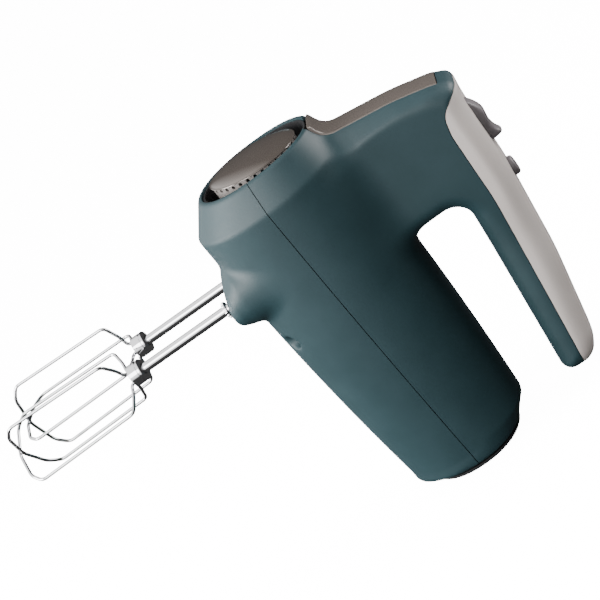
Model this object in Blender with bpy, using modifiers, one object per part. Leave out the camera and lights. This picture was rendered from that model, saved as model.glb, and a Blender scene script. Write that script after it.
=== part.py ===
"""Hand mixer, parked upright on its heel.

+Z runs from the heel up to the nose, +X is the mixer's own top (the handle side),
-Y is its left side, and the beaters point to -X. The origin is the centre of the heel face.
"""
import math

import bmesh
import bpy
from mathutils import Matrix, Vector

MM = 0.001
GAP = 0.3 * MM              # clearance between pieces that rest on each other
RUN = 0.35 * MM             # radial clearance of a turning or sliding piece

# Body
BODY_LENGTH = 216 * MM
BODY_SQUARENESS = 2.15
HEEL_WIDTH = 61 * MM
HEEL_HEIGHT = 63 * MM
HEEL_CHAMFER = 7 * MM
REAR_WIDTH = 63 * MM
REAR_HEIGHT = 80 * MM
CREASE_WIDTH = 79 * MM
CREASE_HEIGHT = 95 * MM
BODY_BULGE = 2 * MM
COLLAR_LENGTH = 17.5 * MM
RIM_WIDTH = 62 * MM
RIM_HEIGHT = 74 * MM
RIM_RISE = 3.2 * MM
RIM_WALL = 2.2 * MM
WALL = 2.4 * MM
RECESS_DEPTH = 12 * MM

# Neck and handle, seen from the side
NECK_WIDTH = 39 * MM
NECK_FOOT_WIDTH = 52 * MM
NECK_SQUARENESS = 4.5
GRIP_WIDTH = 34 * MM
GRIP_SQUARENESS = 2.5
GRIP_DEPTH = 28 * MM
GRIP_TOP = 112 * MM         # top of the handle above the body's centre line, behind the switch
GRIP_DROP = 18 * MM         # how much lower its rear end lies
GRIP_CROWN = 2 * MM
GRIP_REAR = 6.5 * MM        # rear end above the heel face
FINGER_FRONT = 129.5 * MM   # front wall of the finger gap
NECK_SLOPE_LOW_X = 52 * MM
NECK_SLOPE_LOW_Z = BODY_LENGTH - 9 * MM
NECK_SLOPE_HIGH_X = 110 * MM
NECK_SLOPE_HIGH_Z = BODY_LENGTH - 19.5 * MM
SEAM_DEPTH = 15 * MM        # from the handle's top line down to the cover's edge

# Turret round the beater sockets
TURRET_DROP = 55.7 * MM
TURRET_TIP_LENGTH = 24 * MM
TURRET_FOOT_LENGTH = 52 * MM
TURRET_TIP_CHEEK = 9.25 * MM    # width beyond each socket's axis, at the turret's face
TURRET_FOOT_CHEEK = 16.75 * MM  # the same where the turret meets the body

# Drive
SPINDLE_PITCH = 35.5 * MM
SPINDLE_Z = 160.6 * MM
TURRET_TIP_WIDTH = SPINDLE_PITCH + 2 * TURRET_TIP_CHEEK
TURRET_FOOT_WIDTH = SPINDLE_PITCH + 2 * TURRET_FOOT_CHEEK
WHEEL_TEETH = 24
WORM_STARTS = 2
WHEEL_ROOM = 12 * MM        # what the worm and the housing's side leave of the body's half width
WHEEL_PITCH_RADIUS = (CREASE_WIDTH / 2 - WHEEL_ROOM) / 2
WORM_PITCH_RADIUS = SPINDLE_PITCH / 2 - WHEEL_PITCH_RADIUS
WHEEL_WIDTH = 6 * MM
TOOTH_SHARE = 0.33          # tooth width as a share of the pitch
ADDENDUM = 0.9 * MM
DEDENDUM = 1.4 * MM
SHAFT_RADIUS = 2.5 * MM
SPINDLE_RADIUS = 5 * MM

# Beaters
BEATER_ROD_RADIUS = 2.95 * MM
BEATER_INSERT = 30 * MM
BEATER_LENGTH = 151 * MM    # from the turret's face to the tip of the cage
SHOULDER_RADIUS = 22.3 * MM
CAGE_RADIUS = 24.3 * MM
CAGE_LENGTH = 91 * MM       # from the crimp ring's top to the tip
CAGE_TURN = {"left": 30, "right": 5}    # degrees, so that the cages pass between each other
WIRE_RADIUS = 1 * MM
RING_WALL = 1 * MM
RING_RADIUS = BEATER_ROD_RADIUS + RUN + 2 * WIRE_RADIUS + GAP + RING_WALL
RING_HEIGHT = 8.2 * MM

# Motor
MOTOR_Z = 80 * MM
STACK_LENGTH = 36 * MM
STATOR_HEIGHT = 48 * MM
STATOR_WIDTH = 52 * MM
ARMATURE_RADIUS = 15.5 * MM
AIR_GAP = 0.7 * MM
FAN_RADIUS = 27 * MM
FAN_Z = 112 * MM
COMMUTATOR_Z = 46 * MM
COMMUTATOR_RADIUS = 9 * MM
COMMUTATOR_LENGTH = 12 * MM
REAR_BEARING_Z = 27 * MM

# Gearbox frame
PLATE = 3 * MM
FRAME_ROOM = 1.75 * MM      # from the wheels' tips to the frame's front plate
FRAME_TAIL = 11.95 * MM     # from the wheels' tips to the frame's rear face, past the front bearing
BUSH_WALL = 1.8 * MM
BUSH_RADIUS = SPINDLE_RADIUS + RUN + BUSH_WALL
FRAME_CORNER_ROOM = 4.4 * MM    # housing beside the frame, its wall included
FRAME_WIDTH = SPINDLE_PITCH / 2 + BUSH_RADIUS + CREASE_WIDTH / 2 - FRAME_CORNER_ROOM
FRAME_FRONT_Z = SPINDLE_Z + WHEEL_PITCH_RADIUS + ADDENDUM + FRAME_ROOM + PLATE
FRAME_REAR_Z = SPINDLE_Z - WHEEL_PITCH_RADIUS - ADDENDUM - FRAME_TAIL
FRAME_LOW_X = -16 * MM
FRAME_HIGH_X = 12 * MM

# Controls
SWITCH_Z = 161 * MM
SWITCH_LENGTH = 26 * MM
SWITCH_WIDTH = 13 * MM
SWITCH_FORWARD = 9 * MM
SWITCH_BACK = 3 * MM
BUTTON_Z = 128 * MM
BUTTON_RADIUS = 5.8 * MM
BUTTON_PROUD = 3 * MM
BUTTON_TRAVEL = 1.8 * MM
EJECT_TRAVEL = 6 * MM
TRIM_WIDTH = 21 * MM
TRIM_THICKNESS = 2.2 * MM
HEEL_PLATE = 2.2 * MM
BOARD_Y = 6.4 * MM
BOARD = 1.6 * MM
BOARD_LENGTH = 52 * MM
CAPACITOR_ROOM = 8.747 * MM     # from the neck's front face to the capacitor, past its wall and its inlay
BOARD_ROOM = 22 * MM        # from the nose down to the board's front edge, inside the neck's front wall

COLOURS = {
    "body_teal": ((0.020, 0.047, 0.055), 0.62, 0.0),
    "cover_grey": ((0.60, 0.56, 0.53), 0.45, 0.0),
    "gloss_grey": ((0.13, 0.11, 0.10), 0.18, 0.6),
    "control_grey": ((0.09, 0.08, 0.085), 0.4, 0.0),
    "black_plastic": ((0.01, 0.01, 0.012), 0.55, 0.0),
    "chrome": ((0.80, 0.80, 0.82), 0.08, 1.0),
    "steel": ((0.55, 0.55, 0.56), 0.35, 1.0),
    "lamination": ((0.22, 0.22, 0.23), 0.5, 1.0),
    "copper": ((0.72, 0.30, 0.12), 0.3, 1.0),
    "brass": ((0.75, 0.55, 0.25), 0.3, 1.0),
    "carbon": ((0.03, 0.03, 0.03), 0.7, 0.0),
    "nylon": ((0.75, 0.73, 0.66), 0.5, 0.0),
    "board_green": ((0.03, 0.16, 0.07), 0.5, 0.0),
    "spring_steel": ((0.6, 0.6, 0.62), 0.3, 1.0),
}


def clear_scene():
    for item in list(bpy.data.objects):
        bpy.data.objects.remove(item, do_unlink=True)


def collection(name):
    group = bpy.data.collections.get(name) or bpy.data.collections.new(name)
    if group.name not in bpy.context.scene.collection.children:
        bpy.context.scene.collection.children.link(group)
    return group


def material(slot):
    existing = bpy.data.materials.get(slot)
    if existing:
        return existing
    colour, roughness, metallic = COLOURS[slot]
    made = bpy.data.materials.new(slot)
    made.use_nodes = True
    shader = made.node_tree.nodes["Principled BSDF"]
    shader.inputs["Base Color"].default_value = (*colour, 1.0)
    shader.inputs["Roughness"].default_value = roughness
    shader.inputs["Metallic"].default_value = metallic
    return made


def object_from(name, mesh_builder, slot=None, origin=(0, 0, 0)):
    """Make an object of a bmesh; with no slot it is a cutter."""
    mesh_builder.normal_update()
    mesh = bpy.data.meshes.new(name)
    mesh_builder.transform(Matrix.Translation(-Vector(origin)))
    mesh_builder.to_mesh(mesh)
    mesh_builder.free()
    made = bpy.data.objects.new(name, mesh)
    made.location = origin
    return filed(made, slot)


def filed(made, slot):
    """Put an object with the parts, or with the cutters when it has no slot."""
    if slot:
        made.data.materials.clear()
        made.data.materials.append(material(slot))
        PARTS.objects.link(made)
        if made.type == "MESH":
            made.data.shade_smooth()
            made.data.set_sharp_from_angle(angle=math.radians(35))
        return made
    CUTTERS.objects.link(made)
    made.hide_render = True
    made.display_type = "WIRE"
    return made


def boolean(target, tool, operation):
    step = target.modifiers.new(operation.title(), "BOOLEAN")
    step.operation = operation
    step.solver = "EXACT"
    step.object = tool
    return target


def cut(target, *tools):
    for tool in tools:
        boolean(target, tool, "DIFFERENCE")
    return target


def join(target, *tools):
    for tool in tools:
        boolean(target, tool, "UNION")
    return target


def keep_inside(target, tool):
    return boolean(target, tool, "INTERSECT")


def flip_if_inside_out(builder):
    bmesh.ops.recalc_face_normals(builder, faces=builder.faces)
    if builder.calc_volume(signed=True) < 0:
        bmesh.ops.reverse_faces(builder, faces=builder.faces)


def lofted(rings):
    """Closed skin through rings that have the same number of points."""
    builder = bmesh.new()
    rows = [[builder.verts.new(point) for point in ring] for ring in rings]
    for lower, upper in zip(rows, rows[1:]):
        for index in range(len(lower)):
            after = (index + 1) % len(lower)
            builder.faces.new((lower[index], lower[after], upper[after], upper[index]))
    builder.faces.new(list(reversed(rows[0])))
    builder.faces.new(rows[-1])
    flip_if_inside_out(builder)
    return builder


def loft(name, rings, slot=None):
    return object_from(name, lofted(rings), slot)


def add_box(builder, low, high):
    low, high = Vector(low), Vector(high)
    scale = Matrix.Diagonal((*(high - low), 1))
    bmesh.ops.create_cube(builder, size=1, matrix=Matrix.Translation((low + high) / 2) @ scale)


def box(name, low, high, slot=None, origin=(0, 0, 0)):
    builder = bmesh.new()
    add_box(builder, low, high)
    return object_from(name, builder, slot, origin)


AXIS_TURN = {
    "X": Matrix.Rotation(math.pi / 2, 4, "Y"),
    "Y": Matrix.Rotation(-math.pi / 2, 4, "X"),
    "Z": Matrix.Identity(4),
}


def add_cylinder(builder, start, axis, length, radius, sides=24, end_radius=None):
    """Cylinder or cone from start, along +axis."""
    middle = Matrix.Translation((0, 0, length / 2))
    bmesh.ops.create_cone(
        builder, cap_ends=True, segments=sides, radius1=radius,
        radius2=radius if end_radius is None else end_radius, depth=length,
        matrix=Matrix.Translation(start) @ AXIS_TURN[axis] @ middle)


def cylinder(name, start, axis, length, radius, slot=None, sides=24, origin=(0, 0, 0)):
    builder = bmesh.new()
    add_cylinder(builder, start, axis, length, radius, sides)
    return object_from(name, builder, slot, origin)


def ring_builder(start, axis, length, outer, inner, sides=20):
    """Tube from start along +axis, as a turned rectangle."""
    corners = [(inner, 0), (outer, 0), (outer, length), (inner, length)]
    builder = bmesh.new()
    place = Matrix.Translation(start) @ AXIS_TURN[axis]
    rows = []
    for step in range(sides):
        angle = 2 * math.pi * step / sides
        around = (math.cos(angle), math.sin(angle))
        rows.append([builder.verts.new(place @ Vector((r * around[0], r * around[1], h)))
                     for r, h in corners])
    for index, row in enumerate(rows):
        after = rows[(index + 1) % sides]
        for side in range(len(corners)):
            other = (side + 1) % len(corners)
            builder.faces.new((row[side], row[other], after[other], after[side]))
    flip_if_inside_out(builder)
    return builder


def tube(name, start, axis, length, outer, inner, slot=None, sides=20, origin=(0, 0, 0)):
    return object_from(name, ring_builder(start, axis, length, outer, inner, sides), slot, origin)


def add_part(builder, other):
    """Copy one bmesh into another as a separate body."""
    mesh = bpy.data.meshes.new("piece")
    other.to_mesh(mesh)
    other.free()
    builder.from_mesh(mesh)
    bpy.data.meshes.remove(mesh)


def prism(name, outline, half_width, slot=None):
    """Flat XZ outline thickened evenly to both sides of Y = 0."""
    curve = bpy.data.curves.new(name, "CURVE")
    curve.dimensions = "2D"
    curve.fill_mode = "BOTH"
    curve.extrude = half_width
    spline = curve.splines.new("POLY")
    spline.points.add(len(outline) - 1)
    for point, (x, z) in zip(spline.points, outline):
        point.co = (x, z, 0, 1)
    spline.use_cyclic_u = True
    return meshed(name, curve, Matrix.Rotation(math.pi / 2, 4, "X"), slot)


def meshed(name, curve, place, slot=None):
    """Turn a curve into a closed mesh object with welded caps."""
    holder = bpy.data.objects.new(name + "_curve", curve)
    bpy.context.scene.collection.objects.link(holder)
    holder.matrix_world = place
    bpy.context.view_layer.update()
    evaluated = holder.evaluated_get(bpy.context.evaluated_depsgraph_get())
    mesh = bpy.data.meshes.new_from_object(evaluated)
    builder = bmesh.new()
    builder.from_mesh(mesh)
    bmesh.ops.remove_doubles(builder, verts=builder.verts, dist=0.00001)
    builder.transform(place)
    flip_if_inside_out(builder)
    bpy.data.objects.remove(holder, do_unlink=True)
    bpy.data.meshes.remove(mesh)
    return object_from(name, builder, slot)


def wire(name, points, radius, slot, cyclic=False, origin=(0, 0, 0)):
    """Round wire through points, left as a curve with filled caps."""
    curve = bpy.data.curves.new(name, "CURVE")
    curve.dimensions = "3D"
    curve.bevel_depth = radius
    curve.bevel_resolution = 2
    curve.use_fill_caps = True
    spline = curve.splines.new("POLY")
    spline.points.add(len(points) - 1)
    for point, place in zip(spline.points, points):
        point.co = (*(Vector(place) - Vector(origin)), 1)
    spline.use_cyclic_u = cyclic
    made = bpy.data.objects.new(name, curve)
    made.location = origin
    return filed(made, slot)


def rounded_path(corners, radius, steps=3):
    """Polyline with each inner corner replaced by a short arc."""
    points = [Vector(corners[0])]
    for before, corner, after in zip(corners, corners[1:], corners[2:]):
        corner = Vector(corner)
        into = (Vector(before) - corner).normalized()
        out = (Vector(after) - corner).normalized()
        reach = min(radius / math.tan(into.angle(out) / 2), (Vector(before) - corner).length * 0.45,
                    (Vector(after) - corner).length * 0.45)
        first, last = corner + into * reach, corner + out * reach
        for step in range(steps + 1):
            share = step / steps
            points.append(first.lerp(corner, share).lerp(corner.lerp(last, share), share))
    points.append(Vector(corners[-1]))
    return points


def helix(centre, axis, radius, turns, length, steps_per_turn=8):
    count = int(turns * steps_per_turn)
    place = Matrix.Translation(centre) @ AXIS_TURN[axis]
    return [place @ Vector((radius * math.cos(2 * math.pi * i / steps_per_turn),
                            radius * math.sin(2 * math.pi * i / steps_per_turn), length * i / count))
            for i in range(count + 1)]


def signed_power(value, exponent):
    return math.copysign(abs(value) ** exponent, value)


def oval(half_a, half_b, squareness, sides):
    """Superellipse points; squareness 2 is an ellipse."""
    power = 2 / squareness
    angles = [2 * math.pi * (step + 0.5) / sides for step in range(sides)]
    return [(half_a * signed_power(math.cos(a), power), half_b * signed_power(math.sin(a), power))
            for a in angles]


def between(low, high, share):
    return low + (high - low) * share


# ---------------------------------------------------------------- outer form

def crease_z():
    return BODY_LENGTH - COLLAR_LENGTH


def body_half_sizes(z):
    """Half height (X) and half width (Y) of the body between its chamfer and its crease."""
    share = (z - HEEL_CHAMFER) / (crease_z() - HEEL_CHAMFER)
    swell = BODY_BULGE * 4 * share * (1 - share)
    height = between(REAR_HEIGHT, CREASE_HEIGHT, share) / 2 + swell
    width = between(REAR_WIDTH, CREASE_WIDTH, share) / 2 + swell
    return height, width


def section_across(z, half_height, half_width, rise=0.0, sides=36, squareness=BODY_SQUARENESS):
    return [(rise + x, y, z) for x, y in oval(half_height, half_width, squareness, sides)]


def body_form(name, inset, heel_z, nose_z):
    """Body skin, moved inwards by inset and cut at two heights."""
    rings = []
    rings.append(section_across(heel_z, HEEL_HEIGHT / 2 - inset, HEEL_WIDTH / 2 - inset))
    for step in range(4):
        z = between(HEEL_CHAMFER, crease_z(), step / 3)
        height, width = body_half_sizes(z)
        rings.append(section_across(z, height - inset, width - inset))
    share = (nose_z - crease_z()) / COLLAR_LENGTH
    height, width = body_half_sizes(crease_z())
    rings.append(section_across(
        nose_z, between(height, RIM_HEIGHT / 2, share) - inset,
        between(width, RIM_WIDTH / 2, share) - inset, RIM_RISE * share))
    return loft(name, rings)


def grip_top(z):
    """X of the handle's top line at height z."""
    share = (FINGER_FRONT - z) / (FINGER_FRONT - GRIP_REAR)
    if share > 0:
        return GRIP_TOP - GRIP_DROP * share ** 1.25
    return GRIP_TOP + GRIP_CROWN * min(1.0, -share * 2.2)


def grip_rings(inset):
    """Cross-sections of the handle from its rear end to the neck's front corner."""
    tip = [(0.0, 0.30, 0.42), (2.0, 0.72, 0.72), (6.5, 0.95, 0.93), (13.0, 1.0, 1.0)]
    stations = []
    for rise, depth_share, width_share in tip:
        z = GRIP_REAR + rise * MM
        top = grip_top(GRIP_REAR + tip[-1][0] * MM)
        lean = between(0.60, 0.5, depth_share)
        middle = top - GRIP_DEPTH * lean
        stations.append((z, middle, GRIP_DEPTH / 2 * depth_share, GRIP_WIDTH / 2 * width_share))
    for step in range(1, 5):
        z = between(GRIP_REAR + tip[-1][0] * MM, FINGER_FRONT, step / 4)
        depth = GRIP_DEPTH + 3 * MM * step / 4
        stations.append((z, grip_top(z) - depth / 2, depth / 2, GRIP_WIDTH / 2))
    front = neck_front(GRIP_TOP) - 1 * MM
    for step, (drop, narrow) in enumerate([(0, 1.0), (0, 1.0), (-0.7, 0.99), (0.5, 0.93), (7.0, 0.8)]):
        z = between(FINGER_FRONT + 18 * MM, front, (0, 0.5, 0.78, 0.93, 1.0)[step])
        top = grip_top(z) - drop * MM
        depth = GRIP_DEPTH + 3 * MM - drop * MM
        stations.append((z, top - depth / 2, depth / 2, NECK_WIDTH / 2 * narrow - 1 * MM))
    rings = []
    for index, (z, middle, half_depth, half_width) in enumerate(stations):
        ends = (index == 0) - (index == len(stations) - 1)
        oval_points = oval(max(half_depth - inset, 1.5 * MM), max(half_width - inset, 3 * MM),
                           GRIP_SQUARENESS, 24)
        rings.append([(middle + x, y, z + inset * ends) for x, y in oval_points])
    return rings


def neck_front(x):
    """Z of the neck's front face at distance x above the body's centre line."""
    slope = (NECK_SLOPE_HIGH_Z - NECK_SLOPE_LOW_Z) / (NECK_SLOPE_HIGH_X - NECK_SLOPE_LOW_X)
    return NECK_SLOPE_LOW_Z + slope * (x - NECK_SLOPE_LOW_X)


def neck_corner_drop(x, y):
    """How far the neck's rounded front face has fallen back at distance y from the middle."""
    half_depth = (neck_front(x) - FINGER_FRONT) / 2
    share = (y / (NECK_WIDTH / 2 - WALL)) ** NECK_SQUARENESS
    return half_depth * (1 - (1 - share) ** (1 / NECK_SQUARENESS))


def neck_rings(inset, front_inset):
    """Cross-sections of the neck from inside the body up into the handle."""
    stations = [(30, -8, NECK_FOOT_WIDTH, -3.5), (44, -8, NECK_FOOT_WIDTH, -3.5),
                (49, -3.5, between(NECK_FOOT_WIDTH, NECK_WIDTH, 0.75), 0), (55, -0.8, NECK_WIDTH + 1 * MM, 0),
                (66, 0, NECK_WIDTH, 0), (73, -2.4, NECK_WIDTH - 0.3 * MM, 0),
                (78.5, -8.7, NECK_WIDTH - 0.6 * MM, 0), (83, -22, NECK_WIDTH - 1 * MM, 0),
                (107, -22, NECK_WIDTH - 2.6 * MM, 0)]
    rings = []
    for height, rear_shift, width, front_shift in stations:
        x = height * MM
        rear = FINGER_FRONT + rear_shift * MM + inset
        front = neck_front(max(x, NECK_SLOPE_LOW_X)) + front_shift * MM - front_inset
        points = oval((front - rear) / 2, width / 2 - inset, NECK_SQUARENESS, 24)
        rings.append([(x, y, (front + rear) / 2 + z) for z, y in points])
    return rings


def turret_rings(inset):
    """Cross-sections of the beater turret, from inside the body down to its face."""
    rings = []
    steps = [(18 * MM, 1.0), (38 * MM, 0.9), (47 * MM, 0.62), (TURRET_DROP - 1.5 * MM, 0.18),
             (TURRET_DROP, 0.0)]
    for drop, share in steps:
        length = between(TURRET_TIP_LENGTH, TURRET_FOOT_LENGTH, share)
        width = between(TURRET_TIP_WIDTH, TURRET_FOOT_WIDTH, share)
        lean = between(-1.5, 3.0, share) * MM
        points = oval(length / 2 - inset, width / 2 - inset, 2.6, 36)
        down = drop - inset if drop > TURRET_DROP - 2 * MM else drop
        rings.append([(-down, y, SPINDLE_Z + lean + z) for z, y in points])
    return rings


def seam_outline(shift):
    """XZ outline of everything above the cover's edge, moved towards +X by shift."""
    def edge(z):
        return grip_top(z) - SEAM_DEPTH
    neck_start = FINGER_FRONT + 33 * MM
    rise = SEAM_DEPTH + 3 * MM
    points = [(edge(GRIP_REAR) - 1 * MM, GRIP_REAR - 4 * MM)]
    for step in range(8):
        z = between(GRIP_REAR, neck_start, step / 7)
        points.append((edge(z), z))
    for step in range(1, 7):
        turn = math.pi / 2 * step / 6
        sweep = (neck_start + 26 * MM * math.sin(turn) ** 0.9, rise * (1 - math.cos(turn)))
        points.append((edge(neck_start) + sweep[1], sweep[0]))
    far = GRIP_TOP + 20 * MM
    points += [(far, points[-1][1]), (far, GRIP_REAR - 4 * MM)]
    return [(x + shift, z + max(-shift, 0.0)) for x, z in points]


def trim_outline(clearance):
    """XZ outline of the strip on the neck's front, grown by a clearance."""
    def front(x):
        return neck_front(x) + 0.3 * MM
    upper = [(GRIP_TOP - 2 * MM + clearance, front(GRIP_TOP - 2 * MM) - 1.2 * MM)]
    for x in (104, 88, 72, 57):
        upper.append((x * MM, front(x * MM)))
    foot = front(50 * MM)
    upper += [(50.5 * MM, foot + 1.3 * MM), (46.5 * MM, foot + 4.0 * MM),
              (40.6 * MM - clearance, BODY_LENGTH - GAP)]
    thickness = TRIM_THICKNESS + clearance
    lower = [(39.2 * MM - clearance, BODY_LENGTH - 2.4 * MM - clearance),
             (43.5 * MM, foot + 0.2 * MM - clearance),
             (50 * MM, front(50 * MM) - thickness)]
    for x in (57, 88):
        lower.append((x * MM, front(x * MM) - thickness))
    lower.append((GRIP_TOP - 2 * MM + clearance, front(GRIP_TOP - 2 * MM) - thickness))
    if clearance:
        upper = [(x, z + 8 * MM) for x, z in upper]
        upper[0] = (upper[0][0], upper[0][1])
    return upper + lower


def handle_form():
    form = loft("handle_form", grip_rings(0.0))
    neck = loft("neck_form", neck_rings(0.0, 0.0))
    return join(form, neck)


def handle_cavity():
    cavity = loft("handle_cavity", grip_rings(WALL))
    neck = loft("neck_cavity", neck_rings(WALL, WALL + TRIM_THICKNESS))
    return join(cavity, neck)


def nose_cuts():
    """Oval recess in the nose and the wider room behind its floor."""
    mouth = loft("nose_mouth", [
        section_across(BODY_LENGTH - RECESS_DEPTH, RIM_HEIGHT / 2 - RIM_WALL, RIM_WIDTH / 2 - RIM_WALL, RIM_RISE),
        section_across(BODY_LENGTH + 5 * MM, RIM_HEIGHT / 2 - RIM_WALL, RIM_WIDTH / 2 - RIM_WALL, RIM_RISE)])
    return mouth


def make_housings():
    handle = handle_form()
    handle_room = handle_cavity()
    room = body_form("body_cavity", WALL, -1 * MM, BODY_LENGTH - RECESS_DEPTH + 0.5 * MM)
    mouth = nose_cuts()
    heel = HEEL_PLATE + GAP
    far = 130 * MM
    below = box("below_seam", (-far, -far, -far), (GAP / 2, far, 2 * far))
    above = box("above_seam", (-GAP / 2, -far, -far), (far, far, 2 * far))
    cover_zone = prism("cover_zone", seam_outline(-GAP), far)
    trim_groove = prism("trim_groove", trim_outline(GAP), TRIM_WIDTH / 2 + GAP)

    upper = body_form("upper_housing", 0.0, heel, BODY_LENGTH)
    join(upper, handle)
    cut(upper, room, handle_room, mouth, cover_zone, trim_groove, below)
    cut(upper, cord_hole())
    refile(upper, "body_teal")

    lower = body_form("lower_housing", 0.0, heel, BODY_LENGTH)
    turret = loft("turret_form", turret_rings(0.0))
    turret_room = loft("turret_cavity", turret_rings(WALL))
    join(lower, turret)
    cut(lower, room, turret_room, mouth, above, *spindle_holes(), *screw_recesses())
    refile(lower, "body_teal")

    cover = prism("handle_cover", seam_outline(0.0), far)
    keep_inside(cover, handle)
    cut(cover, handle_room, switch_track(), switch_slot(), button_hole(), cord_hole())
    refile(cover, "cover_grey")
    return upper, lower, cover


def refile(made, slot):
    """Move an object made as a cutter over to the parts."""
    CUTTERS.objects.unlink(made)
    made.hide_render = False
    made.display_type = "TEXTURED"
    filed(made, slot)


def spindle_holes():
    start = -TURRET_DROP - 5 * MM
    return [cylinder(f"spindle_hole_{side}", (start, sign * SPINDLE_PITCH / 2, SPINDLE_Z), "X",
                     14 * MM, SPINDLE_RADIUS + 1.2 * MM, sides=24)
            for side, sign in (("left", -1), ("right", 1))]


def screw_places():
    """Screws in the lower housing: two behind the turret and one near the heel."""
    rear, front = 26 * MM, 124 * MM
    return [(-21 * MM, front), (21 * MM, front), (0.0, rear)]


def screw_recesses():
    recesses = []
    for index, (y, z) in enumerate(screw_places()):
        low = -body_half_sizes(z)[0] - 2 * MM
        recesses.append(cylinder(f"screw_recess_{index}", (low, y, z), "X", 24 * MM, 3.6 * MM, sides=16))
    return recesses


def make_screws():
    """Pan-head screws seated in their recesses."""
    for index, (y, z) in enumerate(screw_places()):
        seat = -body_half_sizes(z)[0] + 14 * MM
        cylinder(f"housing_screw_{index + 1}", (seat, y, z), "X", 2 * MM, 3 * MM, "steel", 12)


# ---------------------------------------------------------------- trim and ends

def make_neck_trim():
    return prism("neck_trim", trim_outline(0.0), TRIM_WIDTH / 2, "gloss_grey")


def cap_half_sizes():
    return 27.5 * MM, 24 * MM


def make_nose_cap():
    """Dome with a skirt, open towards the body."""
    half_height, half_width = cap_half_sizes()
    edge = BODY_LENGTH + 0.5 * MM
    skirt = RECESS_DEPTH - PLATE - GAP
    outer = [(1.0, edge - skirt), (1.0, edge - 0.8 * MM), (0.975, edge + 0.2 * MM), (0.8, edge + 1.7 * MM),
             (0.5, edge + 2.9 * MM), (0.15, edge + 3.5 * MM)]
    dome = loft("nose_cap", [section_across(z, half_height * s, half_width * s, RIM_RISE, 36, 2.0)
                             for s, z in outer])
    inner = [(1.0, edge - skirt - 1 * MM), (1.0, edge - 1.6 * MM), (0.78, edge + 0.1 * MM),
             (0.15, edge + 1.8 * MM)]
    wall = 1.6 * MM
    room = loft("cap_room", [section_across(z, half_height * s - wall, half_width * s - wall, RIM_RISE, 36, 2.0)
                             for s, z in inner])
    cut(dome, room)
    refile(dome, "gloss_grey")
    return dome


def make_inlet_tray():
    """Black floor and lining of the air gap round the cap."""
    height = RIM_HEIGHT / 2 - RIM_WALL - GAP
    width = RIM_WIDTH / 2 - RIM_WALL - GAP
    low = BODY_LENGTH - RECESS_DEPTH + GAP
    tray = loft("inlet_tray", [section_across(z, height, width, RIM_RISE) for z in (low, BODY_LENGTH - 1.2 * MM)])
    room = loft("tray_room", [section_across(z, height - 1.2 * MM, width - 1.2 * MM, RIM_RISE)
                              for z in (low + PLATE - 1 * MM, BODY_LENGTH + 2 * MM)])
    builder = bmesh.new()
    for index in range(12):
        angle = math.pi * (index + 0.5) / 6
        x = RIM_RISE + 15 * MM * math.cos(angle)
        y = 13 * MM * math.sin(angle)
        add_cylinder(builder, (x, y, low - 3 * MM), "Z", 8 * MM, 2.4 * MM, sides=8)
    cut(tray, room, object_from("tray_holes", builder))
    refile(tray, "black_plastic")
    return tray


def make_heel_plate():
    plate = loft("heel_plate", [
        section_across(0.0, HEEL_HEIGHT / 2 - 1.6 * MM, HEEL_WIDTH / 2 - 1.2 * MM),
        section_across(0.8 * MM, HEEL_HEIGHT / 2 - 0.8 * MM, HEEL_WIDTH / 2 - 0.5 * MM),
        section_across(HEEL_PLATE, HEEL_HEIGHT / 2 - 0.8 * MM, HEEL_WIDTH / 2 - 0.5 * MM)])
    builder = bmesh.new()
    for row in range(-2, 3):
        for side in (-1, 1):
            y = row * 8 * MM
            low = min(13 * MM * side, 23 * MM * side)
            add_box(builder, (low, y - 1.5 * MM, -1 * MM), (low + 10 * MM, y + 1.5 * MM, HEEL_PLATE + 1 * MM))
    cut(plate, object_from("heel_slots", builder))
    refile(plate, "black_plastic")
    return plate


def cord_place():
    return grip_top(GRIP_REAR + 13 * MM) - GRIP_DEPTH * 0.55


def cord_hole():
    return cylinder("cord_hole", (cord_place(), 0, GRIP_REAR - 3 * MM), "Z", 14 * MM, 3.4 * MM, sides=16)


def make_cord_inlet():
    start = GRIP_REAR + 0.6 * MM
    return tube("cord_inlet", (cord_place(), 0, start), "Z", 9 * MM, 3.4 * MM - GAP, 1.8 * MM,
                "black_plastic", 16)


# ---------------------------------------------------------------- controls

def track_x():
    """Level of the flat track that the speed switch slides on."""
    return GRIP_TOP + 0.9 * MM


def switch_track():
    low = SWITCH_Z - SWITCH_LENGTH / 2 - SWITCH_BACK - 1 * MM
    high = SWITCH_Z + SWITCH_LENGTH / 2 + SWITCH_FORWARD + 1 * MM
    half = SWITCH_WIDTH / 2 + 0.6 * MM
    return box("switch_track", (track_x(), -half, low), (track_x() + 10 * MM, half, high))


def stem_length():
    return 8 * MM


def switch_slot():
    low = SWITCH_Z - stem_length() / 2 - SWITCH_BACK - 0.5 * MM
    high = SWITCH_Z + stem_length() / 2 + SWITCH_FORWARD + 0.5 * MM
    return box("switch_slot", (track_x() - 8 * MM, -2.6 * MM, low), (track_x() + 8 * MM, 2.6 * MM, high))


def make_speed_switch():
    """Thumb slider: a low hump in front, a saddle and a raised fin behind, on a stem."""
    base = track_x() + GAP
    half = SWITCH_LENGTH / 2
    profile = [(0, 1.0), (0.6, 0.97), (3.0, 0.66), (5.0, 0.28), (4.7, 0.02), (4.2, -0.35), (4.7, -0.62),
               (6.4, -0.86), (7.2, -0.93), (6.6, -1.0), (0, -0.96)]
    outline = [(base + x * MM, SWITCH_Z + half * share) for x, share in profile]
    switch = prism("speed_switch", outline, SWITCH_WIDTH / 2)
    stem = box("switch_stem", (track_x() - 7.5 * MM, -2 * MM, SWITCH_Z - stem_length() / 2),
               (base + 1 * MM, 2 * MM, SWITCH_Z + stem_length() / 2))
    join(switch, stem)
    refile(switch, "control_grey")
    move_origin(switch, (base, 0, SWITCH_Z))
    return switch


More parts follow.
